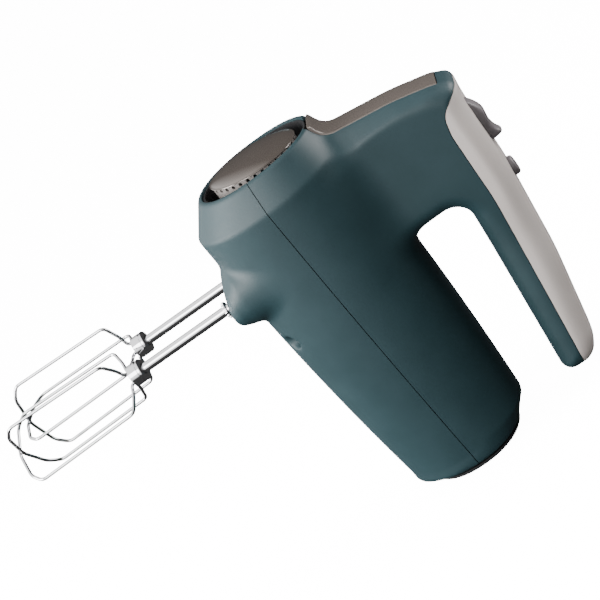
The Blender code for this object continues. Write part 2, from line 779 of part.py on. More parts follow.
def move_origin(made, origin):
    made.data.transform(Matrix.Translation(-Vector(origin)))
    made.location = origin


def button_top():
    return grip_top(BUTTON_Z) + BUTTON_PROUD


def button_hole():
    return cylinder("button_hole", (GRIP_TOP - 12 * MM, 0, BUTTON_Z), "X", 20 * MM, BUTTON_RADIUS + RUN,
                    sides=24)


def button_foot():
    return grip_top(BUTTON_Z) - WALL - BUTTON_TRAVEL - 2.2 * MM


def make_turbo_button():
    builder = bmesh.new()
    add_cylinder(builder, (button_foot(), 0, BUTTON_Z), "X", button_top() - button_foot(), BUTTON_RADIUS,
                 end_radius=BUTTON_RADIUS - 0.5 * MM)
    button = object_from("turbo_button", builder, "control_grey", (button_foot(), 0, BUTTON_Z))
    edge = button.modifiers.new("Edge", "BEVEL")
    edge.width = 0.6 * MM
    edge.segments = 2
    edge.limit_method = "ANGLE"
    return button


def turbo_switch_top():
    return button_foot() - BUTTON_TRAVEL - 3 * MM


def make_turbo_switch():
    top = turbo_switch_top()
    return box("turbo_switch", (top - 7 * MM, -5 * MM, BUTTON_Z - 8 * MM), (top, 5 * MM, BUTTON_Z + 8 * MM),
               "black_plastic")


def make_turbo_spring():
    wire_radius = 0.35 * MM
    low = turbo_switch_top() + GAP + wire_radius
    high = button_foot() - GAP - wire_radius
    return wire("turbo_spring", helix((low, 0, BUTTON_Z), "X", 3 * MM, 3, high - low), wire_radius,
                "spring_steel")


def make_speed_switch_block():
    top = track_x() - 7.5 * MM - 1 * MM
    return box("speed_switch_block", (top - 9 * MM, -6 * MM, SWITCH_Z - 13 * MM),
               (top, 6 * MM, SWITCH_Z + 17 * MM), "black_plastic")


def board_span():
    front = BODY_LENGTH - BOARD_ROOM
    return front - BOARD_LENGTH, front


def make_circuit_board():
    rear, front = board_span()
    return box("circuit_board", (58 * MM, BOARD_Y, rear), (92 * MM, BOARD_Y + BOARD, front), "board_green")


def make_heat_sink():
    """Finned plate against the circuit board."""
    low_z = board_span()[0] + 4 * MM
    high_z = low_z + 20 * MM
    base = 10 * MM
    sink = box("heat_sink", (62 * MM, BOARD_Y + BOARD + GAP, low_z), (84 * MM, base, high_z))
    fins = bmesh.new()
    for index in range(4):
        x = (63 + 6 * index) * MM
        add_box(fins, (x, base - 0.5 * MM, low_z + 0.5 * MM), (x + 1.6 * MM, base + 5 * MM, high_z - 0.5 * MM))
    join(sink, object_from("sink_fins", fins))
    refile(sink, "steel")
    return sink


def make_capacitor():
    top = 82 * MM
    side = BOARD_Y + BOARD + 6.5 * MM
    front = neck_front(top) - neck_corner_drop(top, side) - CAPACITOR_ROOM
    return box("suppression_capacitor", (64 * MM, BOARD_Y + BOARD + GAP, front - 16 * MM), (top, side, front),
               "board_green")


def ejector_rest_x():
    return FRAME_HIGH_X + EJECT_TRAVEL + 0.6 * MM


def make_ejector():
    """Plate over the gearbox with a pin into each spindle and a rod up the neck."""
    low = ejector_rest_x()
    plate = box("ejector", (low, -21 * MM, 154 * MM), (low + 2.5 * MM, 21 * MM, 182 * MM))
    builder = bmesh.new()
    add_box(builder, (low + 1 * MM, -2 * MM, 176 * MM), (84 * MM, 2 * MM, 181 * MM))
    rod = object_from("ejector_rod", builder)
    pins = []
    reach = low - ejector_pin_end() + 1 * MM
    for side in (-1, 1):
        pins.append(cylinder(f"ejector_pin_{side}", (ejector_pin_end(), side * SPINDLE_PITCH / 2, SPINDLE_Z), "X",
                             reach, 2.2 * MM, sides=12))
    join(plate, rod, *pins)
    refile(plate, "nylon")
    move_origin(plate, (low, 0, SPINDLE_Z))
    return plate


def beater_top_x():
    return -TURRET_DROP + BEATER_INSERT


def ejector_pin_end():
    return beater_top_x() + EJECT_TRAVEL + 0.5 * MM


def make_ejector_spring():
    wire_radius = 0.4 * MM
    low = FRAME_HIGH_X + GAP + wire_radius
    high = ejector_rest_x() - GAP - wire_radius
    return wire("ejector_spring", helix((low, 0, 172 * MM), "X", 4 * MM, 3, high - low), wire_radius,
                "spring_steel")


# ---------------------------------------------------------------- gearbox

def tooth_pitch():
    return 2 * math.pi * WHEEL_PITCH_RADIUS / WHEEL_TEETH


def worm_lead():
    return tooth_pitch() * WORM_STARTS


def make_worm_wheel(side, sign):
    """Helical wheel whose tooth gaps face the worm at rest."""
    radius = WHEEL_PITCH_RADIUS
    step = 2 * math.pi / WHEEL_TEETH
    half_tooth = step * TOOTH_SHARE / 2
    slope = 0.87 * worm_lead() / (2 * math.pi * WORM_PITCH_RADIUS)
    facing = -sign * math.pi / 2
    rings = []
    for x in (-WHEEL_WIDTH / 2, 0.0, WHEEL_WIDTH / 2):
        twist = slope * x / radius
        points = []
        for tooth in range(WHEEL_TEETH):
            centre = facing + step * (tooth + 0.5) + twist
            for r, offset in ((radius - DEDENDUM, -1.5), (radius + ADDENDUM, -0.75), (radius + ADDENDUM, 0.75),
                              (radius - DEDENDUM, 1.5)):
                angle = centre + offset * half_tooth
                points.append((x, sign * SPINDLE_PITCH / 2 + r * math.sin(angle),
                               SPINDLE_Z - r * math.cos(angle)))
        rings.append(points)
    wheel = loft(f"worm_wheel_{side}", rings)
    bore = cylinder(f"wheel_bore_{side}", (-WHEEL_WIDTH, sign * SPINDLE_PITCH / 2, SPINDLE_Z), "X",
                    2 * WHEEL_WIDTH, SPINDLE_RADIUS + GAP, sides=24)
    cut(wheel, bore)
    refile(wheel, "nylon")
    move_origin(wheel, (0, sign * SPINDLE_PITCH / 2, SPINDLE_Z))
    return wheel


def make_spindle(side, sign):
    """Hollow socket that takes the beater's rod, with a flange on each side of the wheel."""
    start = -TURRET_DROP + 3.5 * MM
    end = FRAME_HIGH_X - PLATE - 1 * MM
    y = sign * SPINDLE_PITCH / 2
    spindle = tube(f"spindle_{side}", (start, y, SPINDLE_Z), "X", end - start, SPINDLE_RADIUS,
                   BEATER_ROD_RADIUS + RUN)
    collar = tube(f"spindle_collar_{side}", (-WHEEL_WIDTH / 2 - GAP - 2 * MM, y, SPINDLE_Z), "X", 2 * MM,
                  SPINDLE_RADIUS + 2 * MM, SPINDLE_RADIUS - 0.6 * MM)
    join(spindle, collar)
    refile(spindle, "nylon")
    move_origin(spindle, (0, y, SPINDLE_Z))
    return spindle


def make_gearbox_frame():
    half = FRAME_WIDTH / 2
    outer = box("gearbox_frame", (FRAME_LOW_X, -half, FRAME_REAR_Z), (FRAME_HIGH_X, half, FRAME_FRONT_Z))
    room = box("gearbox_room", (FRAME_LOW_X + PLATE, -half - 5 * MM, FRAME_REAR_Z + PLATE),
               (FRAME_HIGH_X - PLATE, half + 5 * MM, FRAME_FRONT_Z - PLATE))
    shaft_hole = cylinder("frame_shaft_hole", (0, 0, FRAME_REAR_Z - 5 * MM), "Z",
                          FRAME_FRONT_Z - FRAME_REAR_Z + 10 * MM, bearing_radius() + GAP)
    holes = []
    for side, sign in (("left", -1), ("right", 1)):
        y = sign * SPINDLE_PITCH / 2
        holes.append(cylinder(f"frame_bush_hole_{side}", (FRAME_LOW_X - 5 * MM, y, SPINDLE_Z), "X", 10 * MM,
                              BUSH_RADIUS + GAP))
        holes.append(cylinder(f"frame_pin_hole_{side}", (FRAME_HIGH_X - 5 * MM, y, SPINDLE_Z), "X", 10 * MM,
                              2.2 * MM + RUN, sides=12))
    cut(outer, room, shaft_hole, *holes)
    refile(outer, "nylon")
    return outer


def bearing_radius():
    return 6 * MM


def make_spindle_bush(side, sign):
    return tube(f"spindle_bush_{side}", (FRAME_LOW_X - 0.5 * MM, sign * SPINDLE_PITCH / 2, SPINDLE_Z), "X",
                PLATE + 0.5 * MM, BUSH_RADIUS, SPINDLE_RADIUS + RUN, "brass")


def make_bearing(name, z):
    return tube(name, (0, 0, z), "Z", PLATE + 2 * MM, bearing_radius(), SHAFT_RADIUS + RUN, "brass")


# ---------------------------------------------------------------- motor

def worm_thread(start_angle):
    """One thread of the worm, a swept trapezoid with closed ends."""
    root = WORM_PITCH_RADIUS - DEDENDUM - 0.2 * MM
    tip = WORM_PITCH_RADIUS + ADDENDUM
    half = tooth_pitch() * TOOTH_SHARE / 2
    corners = [(root, -1.5 * half), (tip, -0.7 * half), (tip, 0.7 * half), (root, 1.5 * half)]
    length = 18 * MM
    count = int(11 * length / worm_lead())
    rings = []
    for step in range(count + 1):
        turn = 2 * math.pi * (step / count - 0.5) * length / worm_lead()
        angle = turn + start_angle
        height = SPINDLE_Z + worm_lead() * turn / (2 * math.pi)
        rings.append([(r * math.cos(angle), r * math.sin(angle), height + h) for r, h in corners])
    return rings


def make_motor_shaft():
    """Shaft with the double-start worm cut on its front end."""
    start = REAR_BEARING_Z - 2 * MM
    end = FRAME_FRONT_Z + 3 * MM
    shaft = cylinder("motor_shaft", (0, 0, start), "Z", end - start, SHAFT_RADIUS, sides=16)
    core = cylinder("worm_core", (0, 0, SPINDLE_Z - 12 * MM), "Z", 24 * MM,
                    WORM_PITCH_RADIUS - DEDENDUM + 0.1 * MM, sides=24)
    threads = [loft(f"worm_thread_{index}", worm_thread(math.pi / 2 + index * 2 * math.pi / WORM_STARTS))
               for index in range(WORM_STARTS)]
    join(shaft, core, *threads)
    refile(shaft, "steel")
    return shaft


def make_armature_core():
    """Slotted lamination stack on the shaft."""
    low = MOTOR_Z - STACK_LENGTH / 2
    core = tube("armature_core", (0, 0, low), "Z", STACK_LENGTH, ARMATURE_RADIUS, SHAFT_RADIUS + GAP, sides=36)
    builder = bmesh.new()
    slots = 9
    for index in range(slots):
        turn = Matrix.Rotation(2 * math.pi * index / slots, 4, "Z")
        piece = bmesh.new()
        add_box(piece, (ARMATURE_RADIUS - 5 * MM, -1.1 * MM, low - 2 * MM),
                (ARMATURE_RADIUS + 3 * MM, 1.1 * MM, low + STACK_LENGTH + 2 * MM))
        piece.transform(turn)
        add_part(builder, piece)
    cut(core, object_from("armature_slots", builder))
    refile(core, "lamination")
    return core


def make_armature_windings():
    """Coil heads at both ends of the stack."""
    length = 5.5 * MM
    rear = MOTOR_Z - STACK_LENGTH / 2 - GAP - length
    front = MOTOR_Z + STACK_LENGTH / 2 + GAP
    for name, low in (("armature_winding_rear", rear), ("armature_winding_front", front)):
        tube(name, (0, 0, low), "Z", length, 12 * MM, SHAFT_RADIUS + GAP, "copper")


def make_commutator():
    return tube("commutator", (0, 0, COMMUTATOR_Z - COMMUTATOR_LENGTH / 2), "Z", COMMUTATOR_LENGTH,
                COMMUTATOR_RADIUS, SHAFT_RADIUS + GAP, "copper")


def make_cooling_fan():
    """Disc with straight blades and a hub."""
    disc = 1.5 * MM
    blade = 7 * MM
    fan = tube("cooling_fan", (0, 0, FAN_Z), "Z", disc, FAN_RADIUS, SHAFT_RADIUS + GAP, sides=32)
    hub = tube("fan_hub", (0, 0, FAN_Z), "Z", disc + blade, 7 * MM, SHAFT_RADIUS + GAP, sides=32)
    builder = bmesh.new()
    count = 9
    for index in range(count):
        piece = bmesh.new()
        add_box(piece, (6 * MM, -0.6 * MM, FAN_Z + disc - 0.5 * MM),
                (FAN_RADIUS - 0.5 * MM, 0.6 * MM, FAN_Z + disc + blade - 0.4 * MM))
        piece.transform(Matrix.Rotation(2 * math.pi * index / count, 4, "Z"))
        add_part(builder, piece)
    join(fan, hub, object_from("fan_blades", builder))
    refile(fan, "nylon")
    return fan


def coil_centre():
    return 14 * MM, 15.5 * MM


def make_stator_core():
    low = MOTOR_Z - STACK_LENGTH / 2
    half_x, half_y = STATOR_HEIGHT / 2, STATOR_WIDTH / 2
    stack = box("stator_core", (-half_x, -half_y, low), (half_x, half_y, low + STACK_LENGTH))
    corner = stack.modifiers.new("Corners", "BEVEL")
    corner.width = 5 * MM
    corner.segments = 2
    corner.limit_method = "WEIGHT"
    upright_edges(stack)
    bore = cylinder("stator_bore", (0, 0, low - 2 * MM), "Z", STACK_LENGTH + 4 * MM, ARMATURE_RADIUS + AIR_GAP,
                    sides=36)
    x, y = coil_centre()
    reach = 3.2 * MM
    builder = bmesh.new()
    for sx in (-1, 1):
        for sy in (-1, 1):
            low_y, high_y = sorted((sy * (y - 7.5 * MM), sy * (y + reach)))
            add_box(builder, (sx * x - reach, low_y, low - 2 * MM),
                    (sx * x + reach, high_y, low + STACK_LENGTH + 2 * MM))
    cut(stack, bore, object_from("coil_windows", builder))
    refile(stack, "lamination")
    return stack


def upright_edges(made):
    """Give the edges along Z a bevel weight of one."""
    weights = made.data.attributes.new("bevel_weight_edge", "FLOAT", "EDGE")
    for edge in made.data.edges:
        first, second = (made.data.vertices[index].co for index in edge.vertices)
        upright = abs(first.x - second.x) + abs(first.y - second.y) < 1e-6
        weights.data[edge.index].value = 1.0 if upright else 0.0


def make_field_coils():
    x, y = coil_centre()
    radius = 2.6 * MM
    over = 4.5 * MM
    low, high = MOTOR_Z - STACK_LENGTH / 2 - over, MOTOR_Z + STACK_LENGTH / 2 + over
    coils = []
    for side, sign in (("left", -1), ("right", 1)):
        corners = [(0, sign * y, low), (x, sign * y, low), (x, sign * y, high), (-x, sign * y, high),
                   (-x, sign * y, low), (0, sign * y, low)]
        path = rounded_path(corners, 3.5 * MM, 2)[:-1]
        coils.append(wire(f"field_coil_{side}", path, radius, "copper", cyclic=True))
    return coils


def holder_reach():
    return COMMUTATOR_RADIUS + 1.5 * MM


def make_rear_bracket():
    """Bar across the body behind the motor that carries the bearing and the brush holders."""
    half = 27 * MM
    bar = box("rear_bracket", (-10 * MM, -half, REAR_BEARING_Z), (10 * MM, half, REAR_BEARING_Z + PLATE))
    hole = cylinder("rear_bearing_hole", (0, 0, REAR_BEARING_Z - 2 * MM), "Z", PLATE + 4 * MM,
                    bearing_radius() + GAP)
    builder = bmesh.new()
    for side in (-1, 1):
        low, high = sorted((side * (half - 4 * MM), side * half))
        add_box(builder, (-10 * MM, low, REAR_BEARING_Z + 1 * MM),
                (10 * MM, high, MOTOR_Z - STACK_LENGTH / 2 - 6 * MM))
    join(bar, object_from("bracket_legs", builder))
    cut(bar, hole)
    refile(bar, "black_plastic")
    return bar


def make_brush_set(side, sign):
    """Holder, carbon brush and its spring on one side of the commutator."""
    half_x, half_z, wall = 3 * MM, 3.5 * MM, 1 * MM
    outer_y = 21 * MM
    brush_end = 17 * MM
    low, high = sorted((sign * holder_reach(), sign * outer_y))
    holder = square_tube(low, high, half_x + wall + GAP, half_z + wall + GAP, half_x + GAP, half_z + GAP)
    object_from(f"brush_holder_{side}", holder, "brass")
    low, high = sorted((sign * (COMMUTATOR_RADIUS + GAP), sign * brush_end))
    box(f"carbon_brush_{side}", (-half_x, low, COMMUTATOR_Z - half_z), (half_x, high, COMMUTATOR_Z + half_z),
        "carbon")
    wire_radius = 0.35 * MM
    start = brush_end + GAP + wire_radius
    turns = helix((0, 0, 0), "Z", 2.2 * MM, 3, outer_y - start - wire_radius, 8)
    points = [(p.x, sign * (start + p.z), COMMUTATOR_Z + p.y) for p in turns]
    wire(f"brush_spring_{side}", points, wire_radius, "spring_steel")


def square_tube(low, high, outer_x, outer_z, inner_x, inner_z):
    """Square tube along Y around the brush line."""
    builder = bmesh.new()
    loops = []
    for y in (low, high):
        for x, z in ((outer_x, outer_z), (inner_x, inner_z)):
            loops.append([builder.verts.new((sx * x, y, COMMUTATOR_Z + sz * z))
                          for sx, sz in ((-1, -1), (1, -1), (1, 1), (-1, 1))])
    outer_low, inner_low, outer_high, inner_high = loops
    for first, second in ((outer_low, outer_high), (outer_high, inner_high), (inner_high, inner_low),
                          (inner_low, outer_low)):
        for index in range(4):
            after = (index + 1) % 4
            builder.faces.new((first[index], first[after], second[after], second[index]))
    flip_if_inside_out(builder)
    return builder


# ---------------------------------------------------------------- beaters

def ring_top_x():
    return -TURRET_DROP - BEATER_LENGTH + CAGE_LENGTH


def make_beater(side, sign):
    y = sign * SPINDLE_PITCH / 2
    origin = (0, y, SPINDLE_Z)
    top = beater_top_x()
    bottom = ring_top_x() - RING_HEIGHT
    cylinder(f"beater_rod_{side}", (bottom, y, SPINDLE_Z), "X", top - bottom, BEATER_ROD_RADIUS, "chrome",
             20, origin)
    ring = tube(f"crimp_ring_{side}", (ring_top_x() - RING_HEIGHT, y, SPINDLE_Z), "X", RING_HEIGHT, RING_RADIUS,
                RING_RADIUS - RING_WALL)
    lid = tube(f"crimp_lid_{side}", (ring_top_x() - 1.2 * MM, y, SPINDLE_Z), "X", 1.2 * MM, RING_RADIUS - 0.2 * MM,
               BEATER_ROD_RADIUS + GAP)
    join(ring, lid)
    refile(ring, "chrome")
    move_origin(ring, origin)
    for index in range(2):
        angle = math.radians(CAGE_TURN[side] + 90 * index)
        wire(f"beater_wire_{side}_{index + 1}", wire_path(y, angle, index * (2 * WIRE_RADIUS + GAP)), WIRE_RADIUS,
             "chrome", origin=origin)


def wire_path(y, angle, lift):
    """One bent loop: out of the ring, down a leg, across the tip and back up the other leg."""
    root = BEATER_ROD_RADIUS + RUN + WIRE_RADIUS
    ring_x = ring_top_x() - 2.2 * MM
    mouth_x = ring_top_x() - RING_HEIGHT - 3 * MM
    tip_x = -TURRET_DROP - BEATER_LENGTH + WIRE_RADIUS + lift
    profile = [(ring_x, root), (mouth_x, root), (mouth_x - 8 * MM, SHOULDER_RADIUS),
               (tip_x + 9 * MM, CAGE_RADIUS), (tip_x + 3 * MM, CAGE_RADIUS - 7 * MM), (tip_x, 1.5 * MM)]
    corners = [(x, r) for x, r in profile] + [(x, -r) for x, r in reversed(profile)]
    placed = [(x, y + r * math.cos(angle), SPINDLE_Z + r * math.sin(angle)) for x, r in corners]
    return rounded_path(placed, 5 * MM, 2)


def make_drive_collar():
    """Toothed collar on the left rod that only fits the left socket."""
    builder = ring_builder((-TURRET_DROP - 2.2 * MM, -SPINDLE_PITCH / 2, SPINDLE_Z), "X", 1.6 * MM, 5.2 * MM,
                           BEATER_ROD_RADIUS + GAP)
    return object_from("drive_collar", builder, "chrome", (0, -SPINDLE_PITCH / 2, SPINDLE_Z))


def build():
    make_housings()
    make_screws()
    make_neck_trim()
    make_nose_cap()
    make_inlet_tray()
    make_heel_plate()
    make_cord_inlet()
    make_speed_switch()
    make_turbo_button()
    make_turbo_switch()
    make_turbo_spring()
    make_speed_switch_block()
    make_circuit_board()
    make_heat_sink()
    make_capacitor()
    make_ejector()
    make_ejector_spring()
    for side, sign in (("left", -1), ("right", 1)):
        make_worm_wheel(side, sign)
        make_spindle(side, sign)
        make_beater(side, sign)
        make_spindle_bush(side, sign)
        make_brush_set(side, sign)
    make_drive_collar()
    make_gearbox_frame()
    make_bearing("rear_bearing", REAR_BEARING_Z)
    make_bearing("front_bearing", FRAME_REAR_Z - 1.5 * MM)
    make_bearing("tip_bearing", FRAME_FRONT_Z - PLATE - 0.5 * MM)
    make_motor_shaft()
    make_armature_core()
    make_armature_windings()
    make_commutator()
    make_cooling_fan()
    make_stator_core()
    make_field_coils()
    make_rear_bracket()


clear_scene()
PARTS = collection("hand_mixer")
CUTTERS = collection("cutters")
build()
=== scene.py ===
# %% [markdown]
# # A hand mixer parked on its heel
# The fixed frame holds every mechanical piece of the mixer at its true size. This lesson dresses it:
# smooth moulded shells, a glossy nose cap with a perforated skirt, chrome beaters, and materials
# that have the grain of the real finishes.

# %% Load the frame
import math

import bmesh
import bpy
import numpy as np
from mathutils import Matrix, Vector


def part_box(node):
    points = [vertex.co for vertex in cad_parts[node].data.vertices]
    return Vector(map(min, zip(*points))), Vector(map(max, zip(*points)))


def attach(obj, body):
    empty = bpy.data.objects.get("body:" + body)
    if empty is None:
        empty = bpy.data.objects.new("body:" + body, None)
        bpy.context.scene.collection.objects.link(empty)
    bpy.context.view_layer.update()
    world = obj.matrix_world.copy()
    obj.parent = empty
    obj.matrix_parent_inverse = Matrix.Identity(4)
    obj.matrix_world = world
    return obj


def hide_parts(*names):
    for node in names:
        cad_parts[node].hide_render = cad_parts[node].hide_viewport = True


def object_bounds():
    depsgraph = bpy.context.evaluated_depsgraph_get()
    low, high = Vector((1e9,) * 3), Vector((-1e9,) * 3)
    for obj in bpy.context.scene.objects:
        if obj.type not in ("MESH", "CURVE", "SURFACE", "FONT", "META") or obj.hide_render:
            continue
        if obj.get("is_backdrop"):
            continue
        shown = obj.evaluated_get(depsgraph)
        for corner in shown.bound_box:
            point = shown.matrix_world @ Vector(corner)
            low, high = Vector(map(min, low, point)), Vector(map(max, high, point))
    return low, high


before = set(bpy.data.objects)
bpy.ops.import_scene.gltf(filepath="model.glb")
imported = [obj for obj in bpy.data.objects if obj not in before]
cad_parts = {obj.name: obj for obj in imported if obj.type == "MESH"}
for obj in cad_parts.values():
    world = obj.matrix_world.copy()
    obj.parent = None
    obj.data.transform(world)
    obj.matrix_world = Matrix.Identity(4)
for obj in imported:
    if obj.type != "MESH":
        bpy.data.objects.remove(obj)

MM = 0.001
cad_low, cad_high = (list(corner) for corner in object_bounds())
print("CAD box in mm:", [round(value / MM, 1) for value in cad_low + cad_high])


# %% [markdown]
# ## Camera
# The mixer stands upright in the frame, but it is looked at as a hand would hold it: the camera is
# rolled by forty degrees, so the body leans towards the beaters. A long lens keeps the sides parallel.

# %% Camera
CAMERA_AZIMUTH = math.radians(14.85)
CAMERA_HEIGHT = math.radians(20.12)
CAMERA_ROLL = math.radians(-40.11)
CAMERA_DISTANCE = 1.0
CAMERA_LENS = 107.7
LOOK_AT = Vector((-0.02657, 0.0, 0.13422))


def place_camera():
    towards = Vector((math.sin(CAMERA_AZIMUTH) * math.cos(CAMERA_HEIGHT),
                      -math.cos(CAMERA_AZIMUTH) * math.cos(CAMERA_HEIGHT), math.sin(CAMERA_HEIGHT)))
    level = Vector((0, 0, 1)).cross(towards).normalized()
    upright = towards.cross(level)
    right = math.cos(CAMERA_ROLL) * level + math.sin(CAMERA_ROLL) * upright
    up = towards.cross(right)
    camera = bpy.data.objects.new("camera", bpy.data.cameras.new("camera"))
    bpy.context.scene.collection.objects.link(camera)
    camera.data.lens = CAMERA_LENS
    camera.matrix_world = Matrix.Translation(LOOK_AT + towards * CAMERA_DISTANCE) @ Matrix(
        (right, up, towards)).transposed().to_4x4()
    bpy.context.scene.camera = camera
    return right, up, towards


view_right, view_up, view_towards = place_camera()
print("camera looks along", [round(value, 2) for value in -view_towards])


# %% [markdown]
# ## Sizes taken from the frame
# Everything below is measured in millimetres. The body's ends, the turret's reach and the beater line are
# read from the imported solids, so the looks follow the mechanical model; the body's widths and the radii
# and offsets of the styling are set here.

# %% Sizes
def box_mm(node):
    low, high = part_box(node)
    return [value / MM for value in low], [value / MM for value in high]


upper_low, upper_high = box_mm("upper_housing")
lower_low = box_mm("lower_housing")[0]
wheel_low, wheel_high = box_mm("worm_wheel_right")

NOSE_Z = upper_high[2]
HEEL_Z = upper_low[2]
TURRET_X = lower_low[0]
SPINDLE_Y = (wheel_low[1] + wheel_high[1]) / 2
SPINDLE_Z = (wheel_low[2] + wheel_high[2]) / 2
COLLAR = 17.3
CREASE_Z = NOSE_Z - COLLAR
RIM_X, RIM_Y, RIM_RISE = 37.2, 31.4, 3.2
CREASE_X, CREASE_Y = 47.5, 39.5
REAR_X, REAR_Y = 40.4, 31.4
HEEL_X, HEEL_Y = 31.0, 30.3
CHAMFER_TOP_Z = 11.0
CHAMFER_LEAN = 4.5
CHAMFER_DROP = 1.5
CHAMFER_REACH = 15.0
SWELL = 2.4
BODY_SQUARENESS = 2.15
PAST_END = 1.3
RIM_WALL = 2.3
WALL = 2.2
SEAM_GAP = 0.45
print("body from", round(HEEL_Z, 1), "to", round(NOSE_Z, 1), "mm, beater pitch", round(2 * SPINDLE_Y, 2),
      "mm")


# %% [markdown]
# ## Shapes as distances
# A moulded housing is one skin in which the body, the neck and the handle flow together. Cages and
# fillets are slow to model by hand for that. Here each part of the form is a formula that gives the
# distance from any point to its surface. Two distances can be melted together with a chosen fillet
# radius, and the zero level of the result is then turned into a mesh.

# %% A grid of points and the basic distance formulas
CELL = 1.25
grid_x = np.arange(TURRET_X - 3.0, upper_high[0] + 10.0, CELL, dtype=np.float32)
grid_y = np.arange(-CREASE_Y - 5.0, CREASE_Y + 6.0, CELL, dtype=np.float32)
grid_z = np.arange(HEEL_Z - 3.5, NOSE_Z + 3.5, CELL, dtype=np.float32)
X, Y, Z = np.meshgrid(grid_x, grid_y, grid_z, indexing="ij", sparse=True)


def as_distance(field):
    """Rescale a formula so that it changes by one per millimetre near its zero level."""
    slopes = np.gradient(field, CELL)
    steepness = np.sqrt(sum(slope * slope for slope in slopes))
    return (field / np.maximum(steepness, 1e-6)).astype(np.float32)


def melt(first, second, radius):
    """Union of two shapes with a fillet between them."""
    share = np.clip(0.5 + 0.5 * (second - first) / radius, 0, 1)
    return second + (first - second) * share - radius * share * (1 - share)


def carve(shape, tool, radius):
    """Cut the second shape out of the first and round the new edge."""
    return -melt(-shape, tool, radius)


def overlap(first, second, radius):
    """Keep what is inside both shapes, with a rounded edge between them."""
    return -melt(-first, -second, radius)


def oval_section(across, sideways, half_across, half_sideways, squareness):
    power = np.abs(across / half_across) ** squareness + np.abs(sideways / half_sideways) ** squareness
    return power ** (1 / squareness) - 1


print("grid of", len(grid_x) * len(grid_y) * len(grid_z), "points")


# %% [markdown]
# ## Body
# The body is an oval tube that widens from the heel to a crease near the nose, where a conical
# collar narrows it again. At the heel a chamfer, taller on the handle's side, leads to the flat foot.
# The formulas run on a little past both ends, so that the flat cuts there meet a clean slope.

# %% Body form
def body_profile(z):
    """Half height, half width and rise of the body's centre at each height."""
    share = np.clip((z - CHAMFER_TOP_Z) / (CREASE_Z - CHAMFER_TOP_Z), 0, 1)
    swell = SWELL * 4 * share * (1 - share)
    half_x = REAR_X + (CREASE_X - REAR_X) * share + swell
    half_y = REAR_Y + (CREASE_Y - REAR_Y) * share + swell
    chamfer_top = CHAMFER_TOP_Z - CHAMFER_DROP + CHAMFER_LEAN * np.clip(X / CHAMFER_REACH, -1, 1)
    down = np.clip((chamfer_top - z) / (chamfer_top - HEEL_Z), 0, PAST_END)
    half_x = half_x - (REAR_X - HEEL_X) * down
    half_y = half_y - (REAR_Y - HEEL_Y) * down ** 2
    up = np.clip((z - CREASE_Z) / COLLAR, 0, PAST_END)
    half_x = half_x - (CREASE_X - RIM_X) * up
    half_y = half_y - (CREASE_Y - RIM_Y) * up
    return half_x, half_y, RIM_RISE * up


def body_distance():
    half_x, half_y, rise = body_profile(Z)
    side = as_distance(oval_section(X - rise, Y, half_x, half_y, BODY_SQUARENESS))
    ends = np.maximum(Z - NOSE_Z, HEEL_Z - Z) + 0 * side
    return overlap(side, ends, 1.0)


# %% [markdown]
# ## Side outline of the neck and handle
# Seen from the side, the neck and handle are a hook: a broad neck, a rounded finger gap, and a grip
# that tapers to a free end. The outline is a short list of corners, each with its own radius.

# %% Neck and handle outline
def rounded_outline(corners, arc_steps=10):
    """Replace each corner (x, z, radius) of a closed outline by an arc."""
    points = []
    count = len(corners)
    for index, (x, z, radius) in enumerate(corners):
        corner = Vector((x, z))
        into = (Vector(corners[index - 1][:2]) - corner).normalized()
        out = (Vector(corners[(index + 1) % count][:2]) - corner).normalized()
        half = into.angle(out) / 2
        if radius == 0 or math.pi / 2 - half < 1e-3:
            points.append(corner)
            continue
        centre = corner + (into + out).normalized() * radius / math.sin(half)
        first = corner + into * radius / math.tan(half) - centre
        last = corner + out * radius / math.tan(half) - centre
        for step in range(arc_steps + 1):
            blend = first.slerp(last, step / arc_steps) if first.angle(last) > 1e-4 else first
            points.append(centre + blend.normalized() * radius)
    return np.array(points)


NECK_LINE = [(15.0, 209.5), (52.0, 204.6), (83.3, 200.1), (106.9, 194.4), (113.4, 191.4)]
HOOK = [
    (15, 131.8, 0),
    (82.2, 133.0, 11),
    (67.2, 8.9, 7),
    (86.6, 8.5, 12),
    (93.4, 20.5, 26),
    (104.6, 73.0, 260),
    (112.6, 133.0, 220),
    (114.2, 176.0, 120),
    (116.4, 189.8, 6),
    *[(x, z, radius) for (x, z), radius in zip(NECK_LINE[3::-1], (40, 160, 160, 0))],
]


def outline_distance(points, px, pz):
    """Signed distance, in the XZ plane, from places to a closed outline; negative inside."""
    nearest = np.full(px.shape, 1e9)
    inside = np.zeros(px.shape, bool)
    for (ax, az), (bx, bz) in zip(points, np.roll(points, -1, axis=0)):
        run_x, run_z = bx - ax, bz - az
        length = max(run_x ** 2 + run_z ** 2, 1e-12)
        share = np.clip(((px - ax) * run_x + (pz - az) * run_z) / length, 0, 1)
        nearest = np.minimum(nearest, np.hypot(px - ax - share * run_x, pz - az - share * run_z))
        if abs(run_z) > 1e-9:
            crossing = ax + (pz - az) / run_z * run_x
            inside ^= ((az > pz) != (bz > pz)) & (px < crossing)
    return np.where(inside, -nearest, nearest)


def ease(value, low, high):
    share = np.clip((value - low) / (high - low), 0, 1)
    return share * share * (3 - 2 * share)


GRIP_HALF_WIDTH, NECK_HALF_WIDTH = 17.0, 19.6
GRIP_ROUND, NECK_ROUND, TOP_ROUND = 12.5, 9.0, 3.0
NECK_FROM_Z, NECK_TO_Z, TOP_FROM_X, TOP_TO_X = 95.0, 150.0, 96.0, 112.0
BEVEL_FROM_X, BEVEL_SLOPE, BEVEL_FLARE, BEVEL_ROUND = 55.0, 0.8, 1.2, 1.2
TRIM_HALF_WIDTH = 10.5


def neck_front(x):
    """Height of the neck's front face above the body's centre line."""
    return np.interp(x, *zip(*NECK_LINE)).astype(np.float32)


